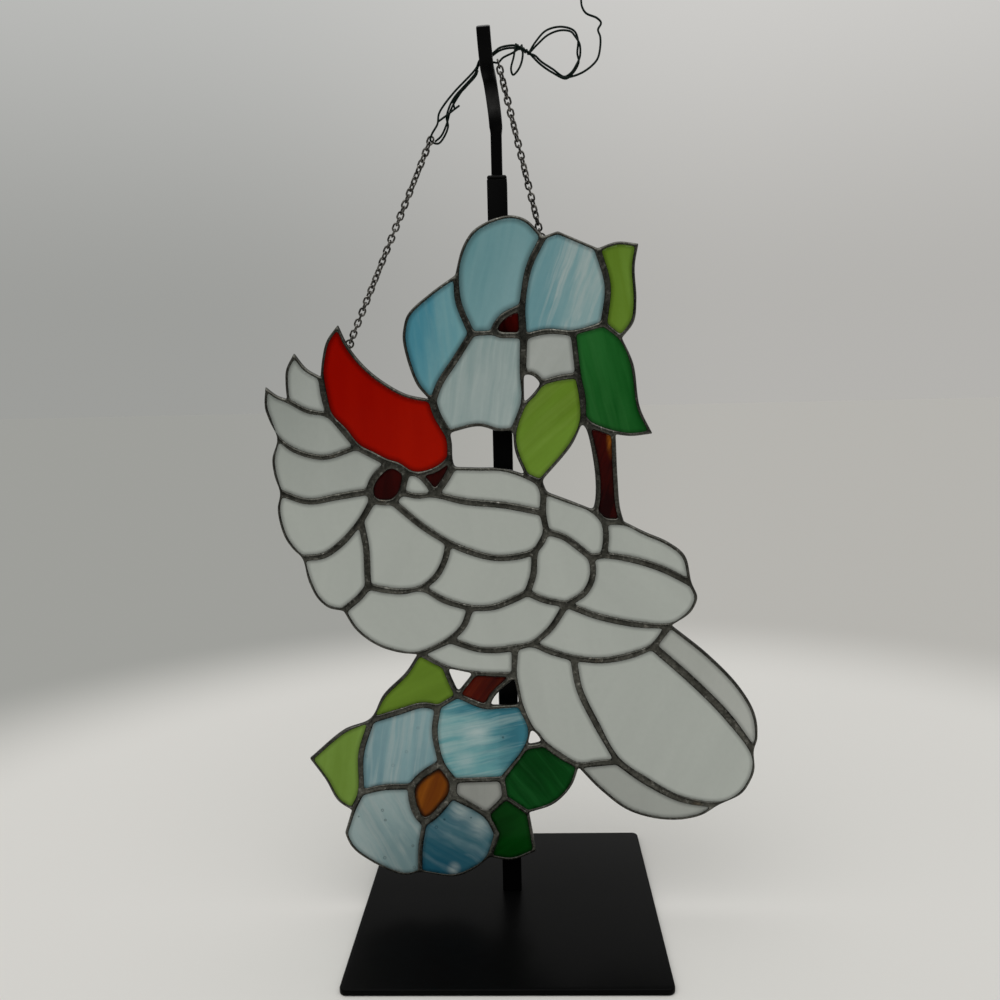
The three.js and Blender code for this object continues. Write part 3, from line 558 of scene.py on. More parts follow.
def glass(name, deep, light, turn=0, lean=(0, 0), width=1.0, contrast=0.6, wisp=None, wisps=0.5,
          fine=0.45, wave=2.5, clear=0.0, rough=0.1, gloss=0.1, bubbles=0.0, bubble_size=0.15,
          dark=0.6, reach=2.2, shift=0.0, spots=(), spot_tone=WHITE):
    """Sheet glass: deep and light colours pulled into soft streaks that run at turn degrees.

    lean says how far the colour goes from deep to light to the right and upwards, wisp is the
    colour of the thin strands, and dark how far the glass darkens at its rim, where foil and bead
    shade it. Each of spots is the place (from -1 to 1 each way), reach and strength of a cloud of
    spot_tone.
    """
    n = Look("glass_" + name)
    streaks = n.stretched(0.085 / width, 0.016 / width, turn, shift, wave)
    broad = n.noise(streaks, 1.0, 2, 0.5)
    narrow_streaks = n.stretched(0.3 / width, 0.028 / width, turn, shift * 1.7 + 5, wave)
    narrow = n.noise(narrow_streaks, 1.0, 3, 0.55)
    field = n.maths("ADD", n.scaled(broad, 0.62), n.scaled(narrow, 0.38))
    field = n.maths("ADD", field, n.maths("MULTIPLY", n.layer("across"), 0.17 * lean[0]))
    field = n.maths("ADD", field, n.maths("MULTIPLY", n.layer("upward"), 0.17 * lean[1]))
    spread = 0.30 - 0.22 * contrast
    colour = n.mix(n.ramp(field, [(0.5 - spread, 0.0), (0.5 + spread, 1.0)]), deep, light)
    if wisp is not None:
        threads = n.stretched(fine, fine * 0.045, turn, shift * 2.3 + 9, wave)
        strand = n.noise(threads, 1.0, 3, 0.6, 0.25)
        leaning = n.maths("ADD", strand, n.maths("MULTIPLY", n.layer("across"), 0.07 * lean[0]))
        where = n.ramp(leaning, [(0.46, 0.0), (0.72, 1.0)])
        colour = n.mix(n.maths("MULTIPLY", where, wisps), colour, wisp)
    for x, y, size, strength in spots:
        aside = n.maths("SUBTRACT", n.layer("across"), x)
        above = n.maths("SUBTRACT", n.layer("upward"), y)
        squares = [n.maths("MULTIPLY", side, side) for side in (aside, above)]
        near_spot = n.fade(n.maths("SQRT", n.maths("ADD", *squares)), 0.0, size, 1.0, 0.0)
        patchy = n.ramp(narrow, [(0.36, 0.35), (0.6, 1.0)])
        held = n.maths("MULTIPLY", n.maths("MULTIPLY", near_spot, patchy), strength)
        colour = n.mix(held, colour, spot_tone)
    cloud = n.noise(n.place(), 0.35, 3)
    colour = n.mix(n.scaled(cloud, 0.18), colour, tuple(0.72 * c for c in deep))
    ripple = n.noise(n.place((0.06, 0.06, 0.03), turn), 1.0, 2)
    normal = n.bump(ripple, 0.5, 0.25)
    if bubbles:
        cell = n.add("TexVoronoi", {"Vector": n.place((1, 0, 1), 0, (shift, 0.35, 0)),
                                    "Scale": bubble_size, "Randomness": 1.0},
                     voronoi_dimensions="3D")
        outline_of = n.ramp(cell.outputs["Distance"],
                            [(0.0, 0.15), (0.085, 0.2), (0.11, 1.0), (0.15, 0.0)])
        chance = n.add("SeparateColor", {"Color": cell.outputs["Color"]}).outputs[0]
        chosen = n.ramp(chance, [(0.55, 0.0), (0.57, 1.0)])
        dot = n.maths("MULTIPLY", n.maths("MULTIPLY", outline_of, chosen), bubbles)
        colour = n.mix(dot, colour, tuple(0.25 * c for c in deep))
        normal = n.bump(dot, 0.12, 0.8, normal)
    near = n.fade(n.layer("rim"), 0.0, reach, dark, 1.0)
    shade = n.add("CombineColor", {"Red": near, "Green": near, "Blue": near}).outputs[0]
    n.surface(Base_Color=n.mix(1.0, colour, shade, "MULTIPLY"), Roughness=rough, IOR=1.5,
              Specular_IOR_Level=gloss, Transmission_Weight=clear, Normal=normal)
    return n.material


# ---------------------------------------------------------------- the camera and the room

# The place in metres, the directions and the lens were fitted to the photo's straight edges.
LENS, SENSOR = 33.3, 36
CAMERA_AT = (0.0150, -0.4668, 0.2663)
CAMERA_AHEAD = (-0.03280, 0.99389, -0.10539)
CAMERA_RIGHT = (0.99929, 0.03062, -0.02222)

camera_data = bpy.data.cameras.new("camera")
camera_data.lens = LENS
camera_data.sensor_width = SENSOR
camera_data.clip_start = 0.01
camera = bpy.data.objects.new("camera", camera_data)
bpy.context.scene.collection.objects.link(camera)
ahead = Vector(CAMERA_AHEAD).normalized()
right = Vector(CAMERA_RIGHT)
right = (right - ahead * right.dot(ahead)).normalized()
up = right.cross(ahead)
camera.matrix_world = Matrix([(right[i], up[i], -ahead[i], CAMERA_AT[i]) for i in range(3)]
                             + [(0, 0, 0, 1)])
bpy.context.scene.camera = camera
bpy.context.scene.view_settings.view_transform = "Standard"

# The room's light on things, and its walls as the camera sees them, which pass from a left to a
# right tone between two directions. The floor fades to what looks like the same tones.
ROOM_TONE = (0.44, 0.44, 0.43)
LEFT_TONE, RIGHT_TONE = (0.337, 0.340, 0.326), (0.455, 0.447, 0.428)
SIDE_FROM, SIDE_TO = -0.35, 0.25
FLOOR_SHOWS = 0.792  # how bright a white floor shows
OVERHEAD, BEHIND, LEAST = 3.0, 1.0, 0.05  # what polished things mirror
FLOOR_HALF, FLOOR_LEVEL = 40.0, -0.0001
POOL_CENTRE, POOL_FROM, POOL_TO = (0.05, 0, 0), 0.42, 0.68
POOL_TONES = (0.785, 0.775, 0.752), (0.825, 0.812, 0.784)


def floor():
    """A wide pale floor with a soft pool of light round the object, dimmer on the left."""
    corners = [(x * FLOOR_HALF, y * FLOOR_HALF, FLOOR_LEVEL)
               for x, y in ((-1, -1), (1, -1), (1, 1), (-1, 1))]
    obj = mesh_object("floor", corners, [(0, 1, 2, 3)], smooth=False)
    n = Look("floor")
    metres = n.add("TexCoord").outputs["Object"]
    centred = n.vectors("SUBTRACT", metres, POOL_CENTRE)
    away = n.add("VectorMath", {0: centred}, operation="LENGTH").outputs["Value"]
    far = n.fade(away, POOL_FROM, POOL_TO)
    direction = n.add("VectorMath", {0: metres}, operation="NORMALIZE").outputs[0]
    toward = n.add("SeparateXYZ", {"Vector": direction})
    side = n.fade(toward.outputs[0], SIDE_FROM, SIDE_TO)
    near = n.mix(n.noise(metres, 1.5, 2), *POOL_TONES)
    left, right = (tuple(c / FLOOR_SHOWS for c in tone) for tone in (LEFT_TONE, RIGHT_TONE))
    n.surface(Base_Color=n.mix(far, near, n.mix(side, left, right)), Roughness=1.0,
              Specular_IOR_Level=0.0)
    obj.data.materials.append(n.material)


def sun(name, toward, strength, angle, colour):
    """A light from far off, as wide as angle in degrees."""
    data = bpy.data.lights.new(name, "SUN")
    data.energy = strength
    data.angle = math.radians(angle)
    data.color = colour
    obj = bpy.data.objects.new(name, data)
    bpy.context.scene.collection.objects.link(obj)
    obj.rotation_euler = Vector(toward).to_track_quat("-Z", "Y").to_euler()


def studio_world():
    """An even pale room. Gloss mirrors a large soft light overhead and dimness in front."""
    world = bpy.data.worlds.new("world")
    bpy.context.scene.world = world
    world.use_nodes = True
    n = Nodes(world.node_tree)
    x, y, z = n.add("SeparateXYZ", {0: n.add("TexCoord").outputs["Generated"]}).outputs
    ray = n.add("LightPath").outputs
    walls = n.mix(n.fade(x, SIDE_FROM, SIDE_TO), LEFT_TONE, RIGHT_TONE)
    walls = n.vectors("ADD", walls, n.fade(z, 0.08, 0.5, 0.0, 0.2))
    bright = n.maths("MAXIMUM", n.fade(z, 0.25, 0.8, 0.0, OVERHEAD),
                     n.fade(y, -0.2, 0.5, 0.0, BEHIND))
    # A plain mix has its two values at inputs 2 and 3.
    strength = n.add("Mix", {0: ray["Is Glossy Ray"], 2: 1.0, 3: n.maths("ADD", bright, LEAST)})
    background = n.tree.nodes["Background"]
    n.put(background.inputs["Color"], n.mix(ray["Is Camera Ray"], ROOM_TONE, walls))
    n.put(background.inputs["Strength"], strength.outputs[0])


floor()
studio_world()
sun("key", (0.06, 0.33, -1.0), 1.22, 80, (1.0, 0.995, 0.98))

# ---------------------------------------------------------------- the panel

SEAM_STEP = 0.6  # between the points along the solder's borders
OUTLINE_EASE, GLASS_EASE, OPEN_EASE, OVERRUN_EASE = 0.4, 0.95, 1.35, 1.5
# Small pieces that the solder has run over, and how far it has.
OVERRUN = {"eye": 0.5, "beak": 0.35, "cheek": 0.3, "upper_flower_centre": 0.6,
           "lower_flower_centre": 0.7, "lower_petal_small": 0.3, "upper_petal_small": 0.3,
           "lower_stem": 0.3}
PROUD = 0.3  # the beads' crowns above the flat solder of the frame
BEAD_REACH, ROLL_REACH = 2.0, 1.5  # from a border to the full height, by glass and by air


def half_thickness(node):
    low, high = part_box(node)
    return (high[1] - low[1]) / 2 / MM


middle = sum(c[1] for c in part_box("solder_network")) / 2 / MM
solder_half = half_thickness("solder_network")
glass_nodes = sorted(n for n in nodes if n.startswith("glass_"))
glass_half = half_thickness(glass_nodes[0])

raw = front_loops("solder_network")
raw.sort(key=lambda loop: -abs(area(loop)))
outline = softened_loop(raw[0], SEAM_STEP, OUTLINE_EASE)
outline = np.clip(outline, raw[0].min(0), raw[0].max(0))
window_of = {}
for node in glass_nodes:
    probe = front_loops(node)[0]
    window_of[node] = max(range(len(raw) - 1), key=lambda i: inside(probe, [raw[i + 1]]).sum())
overrun = {window_of["glass_" + name]: extra for name, extra in OVERRUN.items()}
windows = []
for i, loop in enumerate(raw[1:]):
    ease = GLASS_EASE if i in window_of.values() else OPEN_EASE
    loop = softened_loop(loop, SEAM_STEP, OVERRUN_EASE if i in overrun else ease)
    windows.append(resample(offset_loop(loop, -overrun.get(i, 0)), SEAM_STEP))
open_windows = [i for i in range(len(windows)) if i not in window_of.values()]


def swell(distance, reach):
    """A quarter circle's rise, from 0 at a border to 1 at reach."""
    return np.sqrt(1 - (1 - np.clip(distance / reach, 0, 1)) ** 2)


def solder_network():
    """Rounded beads that swell where they meet and thin out to rolled edges."""
    flat = flat_mesh([outline] + windows, SEAM_STEP, 0.85, EDGE_ROWS)
    points, triangles, borders = flat
    to_glass = distance_to(points, [windows[i] for i in window_of.values()])
    to_open = distance_to(points, [outline] + [windows[i] for i in open_windows])
    crown = solder_half + PROUD
    # Beads rise from just inside the glass's face, and rolled edges from the panel's middle.
    bead = (glass_half - 0.3) + (crown - glass_half + 0.2) * swell(to_glass, BEAD_REACH)
    rolled = 0.25 + (crown - 0.6) * swell(to_open, ROLL_REACH)
    heights = np.minimum(bead, rolled)
    fixed = np.arange(len(points)) < borders
    pairs = np.vstack([triangles[:, [0, 1]], triangles[:, [1, 2]], triangles[:, [2, 0]]])
    count = np.bincount(pairs.ravel(), minlength=len(points))
    for _ in range(2):
        total = np.zeros(len(points))
        np.add.at(total, pairs[:, 0], heights[pairs[:, 1]])
        np.add.at(total, pairs[:, 1], heights[pairs[:, 0]])
        heights = np.where(fixed, heights, 0.5 * heights + 0.5 * total / count)
    raised = []
    for apart in (0, 40):
        lumps = np.array([0.07 * noise.noise(Vector((x * 0.32, apart, z * 0.32)))
                          + 0.035 * noise.noise(Vector((x * 0.9, 20 + apart, z * 0.9)))
                          for x, z in points])
        lumps[fixed] = 0
        raised.append(np.minimum(heights + lumps, crown))
    obj = plate_between("solder", flat, *raised, middle)
    value_layer(obj, "edge", np.tile(np.minimum(to_glass, to_open), 2))
    return obj


# How each piece of glass looks, in the words of glass(). Any piece not named is plain OPAL.
OPAL = dict(deep=(0.485, 0.515, 0.478), light=(0.548, 0.58, 0.537), contrast=0.1, width=2.2,
            dark=0.6)
FEATHER = dict(OPAL, deep=(0.372, 0.403, 0.374), light=(0.472, 0.503, 0.468), lean=(0.5, -1))
LIGHT_GREEN = dict(deep=(0.132, 0.238, 0.019), light=(0.188, 0.335, 0.037), contrast=0.4, dark=0.62)
DARK_GREEN = dict(deep=(0.006, 0.09, 0.012), light=(0.022, 0.155, 0.03), contrast=0.6, clear=0.04,
                  gloss=0.02)
CLEAR = dict(clear=0.1, rough=0.06, gloss=0.015)
GARNET = dict(CLEAR, deep=(0.012, 0.0008, 0.0006), light=(0.042, 0.002, 0.0016), contrast=0.7,
              reach=1.2)
LOOKS = {
    "crest_feather_small": dict(FEATHER, deep=(0.41, 0.44, 0.41), light=(0.49, 0.52, 0.49)),
    "crest_feather_second": FEATHER,
    "crest_feather_third": dict(FEATHER, deep=(0.43, 0.46, 0.425), light=(0.50, 0.53, 0.495)),
    "tail_outer": dict(OPAL, deep=(0.44, 0.46, 0.425), light=(0.53, 0.545, 0.51), lean=(0.4, -0.8)),
    "tail_under": dict(OPAL, deep=(0.40, 0.42, 0.39), light=(0.45, 0.47, 0.435)),
    "crest_red": dict(
        deep=(0.32, 0.003, 0.0003), light=(0.41, 0.007, 0.0008), contrast=0.2, width=2,
        lean=(1, -1), dark=0.5, reach=3.0, gloss=0.03),
    "eye": GARNET,
    "beak": dict(GARNET, light=(0.06, 0.003, 0.002)),
    "upper_flower_centre": dict(GARNET, lean=(1, 0.5), light=(0.065, 0.003, 0.002)),
    "upper_petal_left": dict(
        deep=(0.09, 0.32, 0.415), light=(0.215, 0.455, 0.50), turn=5, lean=(1.2, -0.6),
        contrast=0.6, wisp=(0.28, 0.46, 0.48), wisps=0.4, clear=0.06, width=1.2, shift=4, fine=0.25,
        dark=0.5, reach=2.6),
    "upper_petal_top": dict(
        deep=(0.175, 0.375, 0.41), light=(0.275, 0.475, 0.505), turn=-14, contrast=0.45,
        wisp=(0.30, 0.49, 0.51), wisps=0.3, clear=0.06, width=1.7, shift=9, dark=0.5, reach=3.2,
        lean=(0.5, -0.5), fine=0.2),
    "upper_petal_right": dict(
        deep=(0.195, 0.40, 0.445), light=(0.34, 0.51, 0.52), turn=-19, lean=(1.1, -0.3),
        contrast=0.65, wisp=WHITE, wisps=1.0, clear=0.06, shift=2, fine=0.26, dark=0.5),
    "upper_petal_bottom": dict(
        deep=(0.28, 0.40, 0.40), light=(0.44, 0.53, 0.52), turn=-9, lean=(0, -0.2), contrast=0.6,
        wisp=(0.52, 0.60, 0.58), wisps=0.8, clear=0.05, shift=13, fine=0.26, dark=0.55),
    "upper_petal_small": dict(
        deep=(0.43, 0.46, 0.43), light=(0.53, 0.56, 0.535), contrast=0.3, width=1.5, turn=-30,
        dark=0.55),
    "upper_leaf_light": dict(
        LIGHT_GREEN, turn=10, shift=3, lean=(0.5, 0), light=(0.19, 0.335, 0.05)),
    "upper_leaf_lower": dict(
        LIGHT_GREEN, turn=-48, shift=6, lean=(0, -0.5), wisp=(0.25, 0.38, 0.07), wisps=0.4,
        fine=0.2),
    "upper_leaf_dark": dict(
        DARK_GREEN, turn=14, shift=5, lean=(-0.8, 0.2), wisp=(0.045, 0.20, 0.05), wisps=0.4,
        fine=0.2),
    "upper_stem": dict(
        CLEAR, deep=(0.013, 0.0006, 0.0008), light=(0.05, 0.002, 0.001), turn=-20, contrast=0.8,
        lean=(0.4, 1), width=0.6, fine=0.22, shift=1, reach=1.2,
        spots=((0.55, 0.75, 0.5, 1.0),), spot_tone=(0.42, 0.13, 0.01)),
    "lower_petal_upper_left": dict(
        deep=(0.195, 0.355, 0.40), light=(0.31, 0.49, 0.52), turn=-10, lean=(0.6, 0.2),
        contrast=0.65, wisp=WHITE, wisps=0.9, shift=17, clear=0.15, bubbles=0.35, rough=0.06,
        fine=0.26),
    "lower_petal_upper_right": dict(
        deep=(0.045, 0.25, 0.33), light=(0.20, 0.50, 0.53), turn=-78, lean=(-1.4, -0.9),
        contrast=0.85, wisp=(0.50, 0.70, 0.69), wisps=0.9, clear=0.3, rough=0.04, bubbles=1.0,
        shift=8, wave=3, width=0.9, fine=0.24,
        spots=((-0.15, 0.15, 0.5, 1.0), (-0.4, -0.6, 0.4, 0.6)), spot_tone=(0.62, 0.77, 0.76),
        bubble_size=0.11),
    "lower_petal_lower_left": dict(
        deep=(0.25, 0.38, 0.395), light=(0.41, 0.53, 0.53), turn=28, lean=(-0.7, 0.6),
        contrast=0.6, wisp=(0.48, 0.55, 0.54), wisps=0.8, clear=0.15, rough=0.05, bubbles=0.7,
        shift=23, wave=6, fine=0.22),
    "lower_petal_lower_right": dict(
        deep=(0.018, 0.125, 0.195), light=(0.085, 0.22, 0.26), turn=58, lean=(0.5, 1.5),
        contrast=0.4, wisp=(0.36, 0.50, 0.52), wisps=0.35, clear=0.2, rough=0.04, bubbles=0.7,
        shift=31, wave=7, fine=0.16,
        spots=((0.1, 0.72, 0.5, 0.8), (0.62, 0.3, 0.5, 0.85), (-0.12, -0.85, 0.25, 1.0)),
        spot_tone=(0.50, 0.59, 0.58)),
    "lower_petal_small": dict(
        deep=(0.31, 0.32, 0.295), light=(0.42, 0.43, 0.40), contrast=0.3, width=1.5),
    "lower_flower_centre": dict(
        CLEAR, deep=(0.12, 0.022, 0.001), light=(0.30, 0.085, 0.004), contrast=0.6,
        lean=(0.4, -0.7), dark=0.12, reach=2.3, turn=-25, wisp=(0.40, 0.12, 0.006), wisps=0.6,
        fine=0.2),
    "lower_leaf_top": dict(
        LIGHT_GREEN, turn=-66, shift=11, deep=(0.12, 0.215, 0.016), light=(0.17, 0.295, 0.028)),
    "lower_leaf_left": dict(
        LIGHT_GREEN, turn=-10, shift=15, deep=(0.16, 0.275, 0.036), light=(0.225, 0.37, 0.07)),
    "lower_leaf_right": dict(
        DARK_GREEN, turn=38, shift=19, deep=(0.0006, 0.038, 0.004), light=(0.004, 0.085, 0.012),
        wisp=(0.016, 0.14, 0.03), wisps=0.5, fine=0.2, bubbles=0.3, lean=(0, -0.6)),
    "lower_leaf_bottom": dict(
        DARK_GREEN, turn=-60, shift=27, deep=(0.0008, 0.03, 0.002), light=(0.003, 0.06, 0.006),
        lean=(0.5, 0.5)),
    "lower_stem": dict(
        CLEAR, deep=(0.03, 0.001, 0.0005), light=(0.09, 0.005, 0.001), turn=-38, contrast=0.7,
        lean=(-0.6, 0), shift=6, wisp=(0.18, 0.025, 0.004), wisps=0.5, fine=0.22, reach=1.2),
}


RIM_UNDER, RIM_STEP = 0.6, 0.8  # how far a sheet reaches under the solder, and its rim's points


def glass_piece(node):
    """One cut piece, its rim under the solder, with a softly uneven face."""
    window = windows[window_of[node]]
    under = RIM_UNDER + overrun.get(window_of[node], 0) / 2
    flat = flat_mesh([resample(offset_loop(window, under), RIM_STEP)], 1.5, 0.7)
    points = flat[0]
    within = np.where(inside(points, [window]), 1.0, -1.0) * distance_to(points, [window])
    wave = np.array([0.04 * noise.noise(Vector((x * 0.07, len(node), z * 0.07)))
                     for x, z in points])
    half = glass_half - 0.05
    obj = plate_between(node + "_sheet", flat, half + wave, half - wave, middle)
    value_layer(obj, "rim", np.tile(np.clip(within, 0, 6), 2))
    low, high = window.min(0), window.max(0)
    for layer, k in (("across", 0), ("upward", 1)):
        place = (2 * points[:, k] - low[k] - high[k]) / (high[k] - low[k])
        value_layer(obj, layer, np.tile(place, 2))
    name = node[len("glass_"):]
    plain = dict(OPAL, turn=(len(name) * 37) % 180, shift=len(name))
    dress(obj, glass(name, **LOOKS.get(name, plain)), node)


patina = solder()
dress(solder_network(), patina, "solder_network")
for node in glass_nodes:
    glass_piece(node)

# ---------------------------------------------------------------- the stand

HOOK_ROUTE = [[0, 0, 402.5], [-0.1, -0.6, 405], [-0.7, -3.2, 411.5], [-1.7, -6.8, 419.2],
              [-2.5, -10.8, 424.2], [-3.1, -15, 425.2], [-3.4, -19.4, 427.8], [-3.8, -24.2, 433],
              [-4.2, -28.3, 440.3]]  # from the post's axis
ROD_SIDE, HOOK_WIDTH, HOOK_THICKNESS = 5.6, 6.5, 4.8
WIDENS, FLATTENS = 399.5, 403  # the heights where the rod starts to do so
CORNER = 6  # points round each of the section's four corners
SECTION = 4 * CORNER
# Painted sheen on the leaning arm and painted highlight on the tip's top face: height, reach and
# grey.
PAINTED_SHEENS = ((412.5, 8.5, 0.045), (443.5, 4.0, 0.16))


def hook():
    """The square rod, forged flatter and wider where it leans out over the panel."""
    low, high = (np.array(c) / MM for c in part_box("post_tube"))
    foot = np.array([(low[0] + high[0]) / 2, (low[1] + high[1]) / 2, 0])
    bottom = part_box("hook_rod")[0][2] / MM
    route = np.vstack([[[0, 0, z] for z in (bottom, bottom + 0.5, 330, 380, 396, WIDENS)],
                       centripetal(HOOK_ROUTE, step=0.7)]) + foot
    for _ in range(30):
        route[7:-3] = (route[6:-4] + 2 * route[7:-3] + route[8:-2]) / 4
    way = np.gradient(route, axis=0)
    way /= np.linalg.norm(way, axis=1)[:, None]
    ends = (0, len(route) - 1)
    vertices = []
    for i, (at, along) in enumerate(zip(route, way)):
        across = np.array([1.0, 0, 0]) - along * along[0]
        across /= np.linalg.norm(across)
        through = np.cross(along, across)
        flare = min(1.0, max(0.0, (at[2] - WIDENS) / 3.5))
        half_width = (ROD_SIDE + (HOOK_WIDTH - ROD_SIDE) * flare) / 2
        flat = min(1.0, max(0.0, (at[2] - FLATTENS) / 6))
        half_depth = (ROD_SIDE + (HOOK_THICKNESS - ROD_SIDE) * flat) / 2
        # Each ring's way out along the rod, scale and corner radius: three rings round off an end.
        sizes = [(0.0, 1.0, 1.1)]
        if i in ends:
            sizes += [(0.35, 0.955, 1.25), (0.5, 0.86, 1.3)]
        outward = 1
        if i == 0:
            sizes.reverse()
            outward = -1
        for lift, scale, corner in sizes:
            for k in range(SECTION):
                quarter, step = divmod(k, CORNER)
                turn = math.pi / 2 * (quarter + step / (CORNER - 1))
                sx, sy = ((1, 1), (-1, 1), (-1, -1), (1, -1))[quarter]
                a = sx * (half_width * scale - corner) + corner * math.cos(turn)
                b = sy * (half_depth * scale - corner) + corner * math.sin(turn)
                vertices.append(at + across * a + through * b + along * lift * outward)
    last = len(vertices) - SECTION
    faces = [(r + k, r + (k + 1) % SECTION, r + SECTION + (k + 1) % SECTION, r + SECTION + k)
             for r in range(0, last, SECTION) for k in range(SECTION)]
    faces.append(tuple(range(SECTION))[::-1])
    faces.append(tuple(range(last, len(vertices))))
    obj = mesh_object("hook_rod_painted", np.array(vertices) * MM, faces)
    obj.data.set_sharp_from_angle(angle=math.radians(50))
    return obj


paint = black_paint("black_paint", 0.03)
for node, width in (("base_plate", 0.0006), ("post_tube", 0.0005)):
    dress(from_node(node + "_painted", node, width), paint, node)
dress(hook(), black_paint("black_rod_paint", 0.05, PAINTED_SHEENS), "hook_rod")
dress(from_node("post_cap_moulded", "post_cap", 0.0005), black_plastic(), "post_cap")

# ---------------------------------------------------------------- rings, chains and wire

rng = random.Random(SEED)
RING_WIRE, BLOB = 0.48, 1.15  # radii
LINK_WIDTH, LINK_WIRE = 3.75, 1.0
LINK_SWAY = 0.12  # how far a link may turn from its place, in radians
WIRE = 0.52  # radius


def ring(node):
    """A soldered wire ring, with the blob that holds it on the back of the panel."""
    low, high = (np.array(c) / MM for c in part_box(node))
    centre, radius = (low + high) / 2, (high[0] - low[0]) / 2 - 0.5
    turn = np.linspace(0, 2 * math.pi, 40, endpoint=False)
    circle = centre + radius * np.stack([np.cos(turn), 0 * turn, np.sin(turn)], 1)
    foot = centre + np.array([-0.4, -0.4, -radius * 0.9])
    lifts = [math.pi * (i / 8 - 0.5) for i in range(9)]
    blob = [foot + np.array([0, 0, 1.3 * math.sin(lift)]) for lift in lifts]
    taper = [max(0.05, math.cos(lift)) for lift in lifts]
    vertices, faces = joined([tube(circle, RING_WIRE, 12, closed=True),
                              tube(blob, BLOB, 14, taper=taper)])
    obj = mesh_object(node + "_soldered", vertices * MM, faces)
    value_layer(obj, "edge", np.full(len(vertices), 1.0))  # as solder() reads it: no rim here
    return obj


def chain(node, links, half_turns):
    """Round links along the node's own line, each turned a quarter against the last."""
    co = np.array([v.co for v in nodes[node].data.vertices]) / MM
    co = np.unique(co.round(3), axis=0)
    centre = (co.max(0) + co.min(0)) / 2
    for _ in range(3):
        _, axes = np.linalg.eigh(np.cov((co - centre).T))
        along = axes[:, 2] * np.sign(axes[2, 2])
        reach = (co - centre) @ along
        centre = centre + along * (reach.max() + reach.min()) / 2
        across = (co - centre) - np.outer((co - centre) @ along, along)
        centre = centre + (across.max(0) + across.min(0)) / 2
    reach = (co - centre) @ along
    length = reach.max() - reach.min()
    pitch = (length - LINK_WIRE) / links
    start = centre + along * reach.min()
    aim = Vector((1, 0, 0)).rotation_difference(Vector(along))
    radius = (LINK_WIDTH - LINK_WIRE) / 2
    stretch = (pitch + LINK_WIRE - 0.03) / 2 - radius
    parts = []
    for i in range(links):
        roll = (i % 2) * math.pi / 2 + half_turns * math.pi * i / (links - 1)
        if 0 < i < links - 1:
            roll += rng.uniform(-LINK_SWAY, LINK_SWAY)
        turn = aim @ Quaternion((1, 0, 0), roll)
        middle_of = start + along * (LINK_WIRE / 2 + (i + 0.5) * pitch)
        angle = np.linspace(0, 2 * math.pi, 28, endpoint=False) + 0.01
        path = np.stack([radius * np.cos(angle) + np.sign(np.cos(angle)) * stretch,
                         radius * np.sin(angle), 0 * angle], 1)
        path = np.array([middle_of + np.array(turn @ Vector(p)) for p in path])
        parts.append(tube(path, LINK_WIRE / 2, 8, closed=True))
    vertices, faces = joined(parts)
    return mesh_object(node + "_links", vertices * MM, faces)


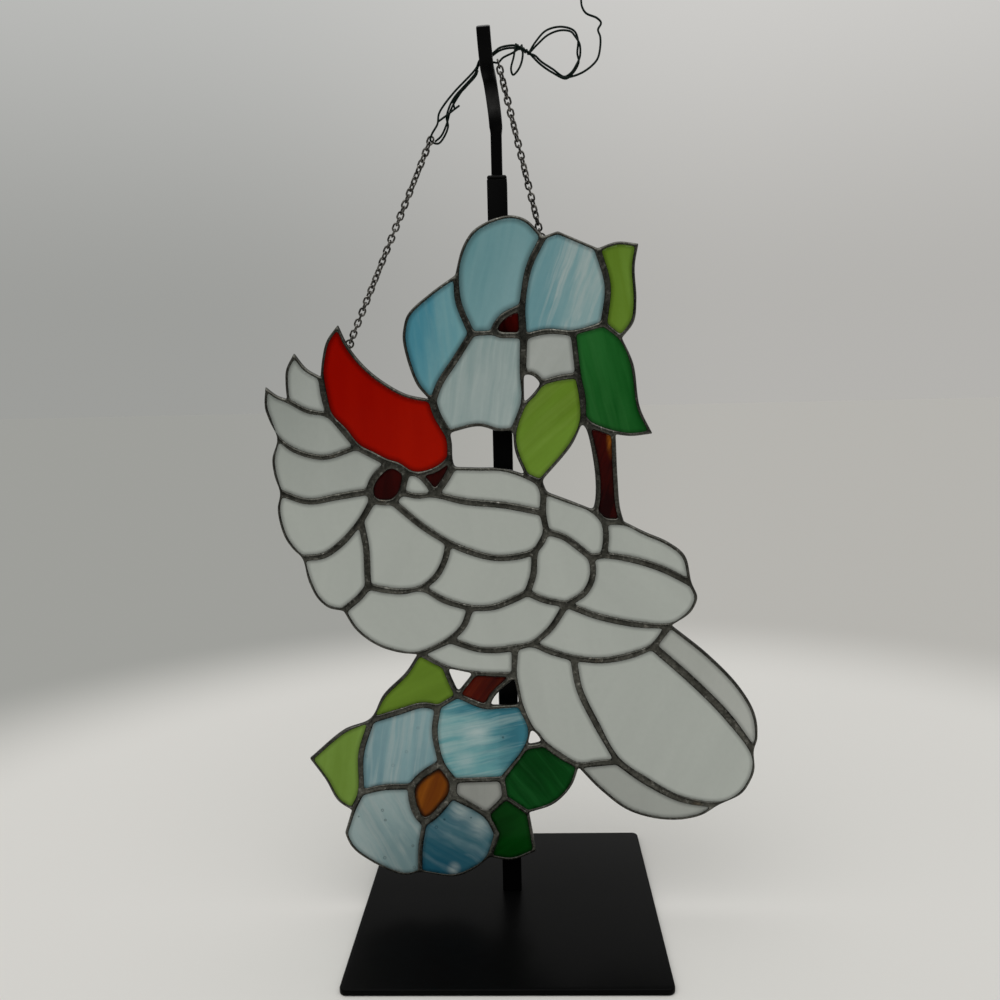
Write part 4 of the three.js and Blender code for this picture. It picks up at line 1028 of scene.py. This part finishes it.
# Over the hook to the left chain and back, two more strands beside that, the end that crosses
# them, the small loop, the long free end, and the two turns of the big loop.
WIRE_ROUTES = [
    [[19.3, -1.3, 432.4], [16, -1.3, 434.6], [12.2, -1.5, 436.4], [7.9, -2.2, 436.2],
     [4, -3.1, 434.9], [1.2, -3.6, 432.6], [-2, -3.6, 430.8], [-5.3, -3.3, 429.6],
     [-7.2, -2.6, 426.2], [-17.8, -1.8, 416.1], [-23.3, -2.2, 409.7], [-25.8, -2.4, 405.6],
     [-26.6, -2.6, 400.9], [-29.4, -2.5, 396.4], [-30.4, -1, 394], [-29.2, 0.6, 393.1],
     [-26.7, 0.8, 392.7], [-24.2, 0.2, 394.9], [-21.6, -0.6, 400.3], [-22.2, -1, 404.1],
     [-20.9, -1.2, 408.7], [-18.3, -1.2, 413.3], [-7.6, -1.9, 424.2], [-6.2, -1.9, 427.2],
     [-5, -1.9, 428.6], [-2, -1.9, 428.9], [1.6, -1.9, 428.9], [3.3, -1.9, 428.6],
     [5.8, -1.8, 430.9], [10.7, -1.5, 433.2], [13.4, -1.3, 434.8], [16, -1.3, 434.6]],
    [[14.2, -1.2, 435.4], [7.9, -1.8, 435.2], [4, -2.5, 433.9], [1.2, -2.8, 432],
     [-2, -2.8, 430], [-5, -2.7, 429.3], [-6.6, -2.5, 427], [-7, -2.2, 423.8],
     [-12.4, -1.2, 418.3], [-18.6, -0.8, 411.9], [-18.1, -0.9, 408]],
    [[-6.4, -1.1, 425.6], [-12, -0.4, 419.6], [-17.2, -0.2, 413], [-20.4, -0.2, 407.4],
     [-22.4, -0.2, 401.2], [-25.2, 0.2, 396], [-28.2, 0.4, 393.6]],
    [[-15.9, -0.6, 409.8], [-18.4, -0.9, 408], [-22, -1.6, 405.2], [-26.1, -2.4, 402.2]],
    [[12.2, -1.5, 437.3], [11, -2.2, 431], [9.6, -2.3, 425.4], [10.5, -2.3, 422.7],
     [12.4, -2.1, 424.2], [14.4, -1.9, 427.6], [15.4, -1.6, 432.4], [14.9, -1.3, 436.8]],
    [[34, -1, 421.4], [38.4, -1, 421.4], [45.2, -1.2, 423.8], [51, -1.6, 428.7],
     [52.5, -1.8, 434.1], [52.6, -1.6, 439.2], [51.6, -1.4, 442.4], [53.1, -1.2, 445.6],
     [51.2, -1, 447.9], [46, -0.8, 450.4], [44.1, -0.6, 453.6], [43.7, -0.5, 457.2]],
    [[18.4, -1.3, 433], [21.4, -1.5, 437.5], [26.7, -1.5, 442.8], [34, -1.3, 444.4],
     [40.2, -1.1, 442.4], [42, -1, 438.2], [41.6, -1, 432], [42.2, -1, 428],
     [39.2, -1, 422.9], [36, -1, 420.6], [29.3, -1.1, 423.7], [23.6, -1.2, 427.7],
     [18.4, -1.3, 433]],
    [[18.2, -1, 432.6], [22.4, -1.9, 436.4], [27.6, -1.9, 440.6], [33.6, -1.7, 442.6],
     [38.6, -1.6, 441.9], [40.6, -1.8, 439.6], [42.7, -1.8, 436], [42.9, -0.6, 431],
     [41, -1.8, 426.5], [38.5, -1.8, 423], [35.2, -0.4, 421.7], [29.6, -1.9, 424.9],
     [24.2, -0.6, 429], [21, -1.9, 431.5], [18.2, -1, 432.6]],
]


def hanger_wire():
    """The twisted green wire and its knot, a wrap of four and a half turns."""
    knot = []
    for s in np.linspace(0, 1, 40):
        turn = s * math.pi * 9
        knot.append([12.6 + s * 6.4, -1.3 + 0.75 * math.cos(turn),
                     436.2 - s * 3.6 + 0.75 * math.sin(turn)])
    parts = [tube(centripetal(route, step=0.7), WIRE, 8) for route in WIRE_ROUTES + [knot]]
    vertices, faces = joined(parts)
    return mesh_object("hanger_wire_enamelled", vertices * MM, faces)


for node in ("hanging_ring_left", "hanging_ring_right"):
    dress(ring(node), patina, node)
links_metal = chain_metal()
for node, links, half_turns in (("chain_left", 36, 1), ("chain_right", 29, 2)):
    dress(chain(node, links, half_turns), links_metal, node)
dress(hanger_wire(), green_enamel(), "hanger_wire")
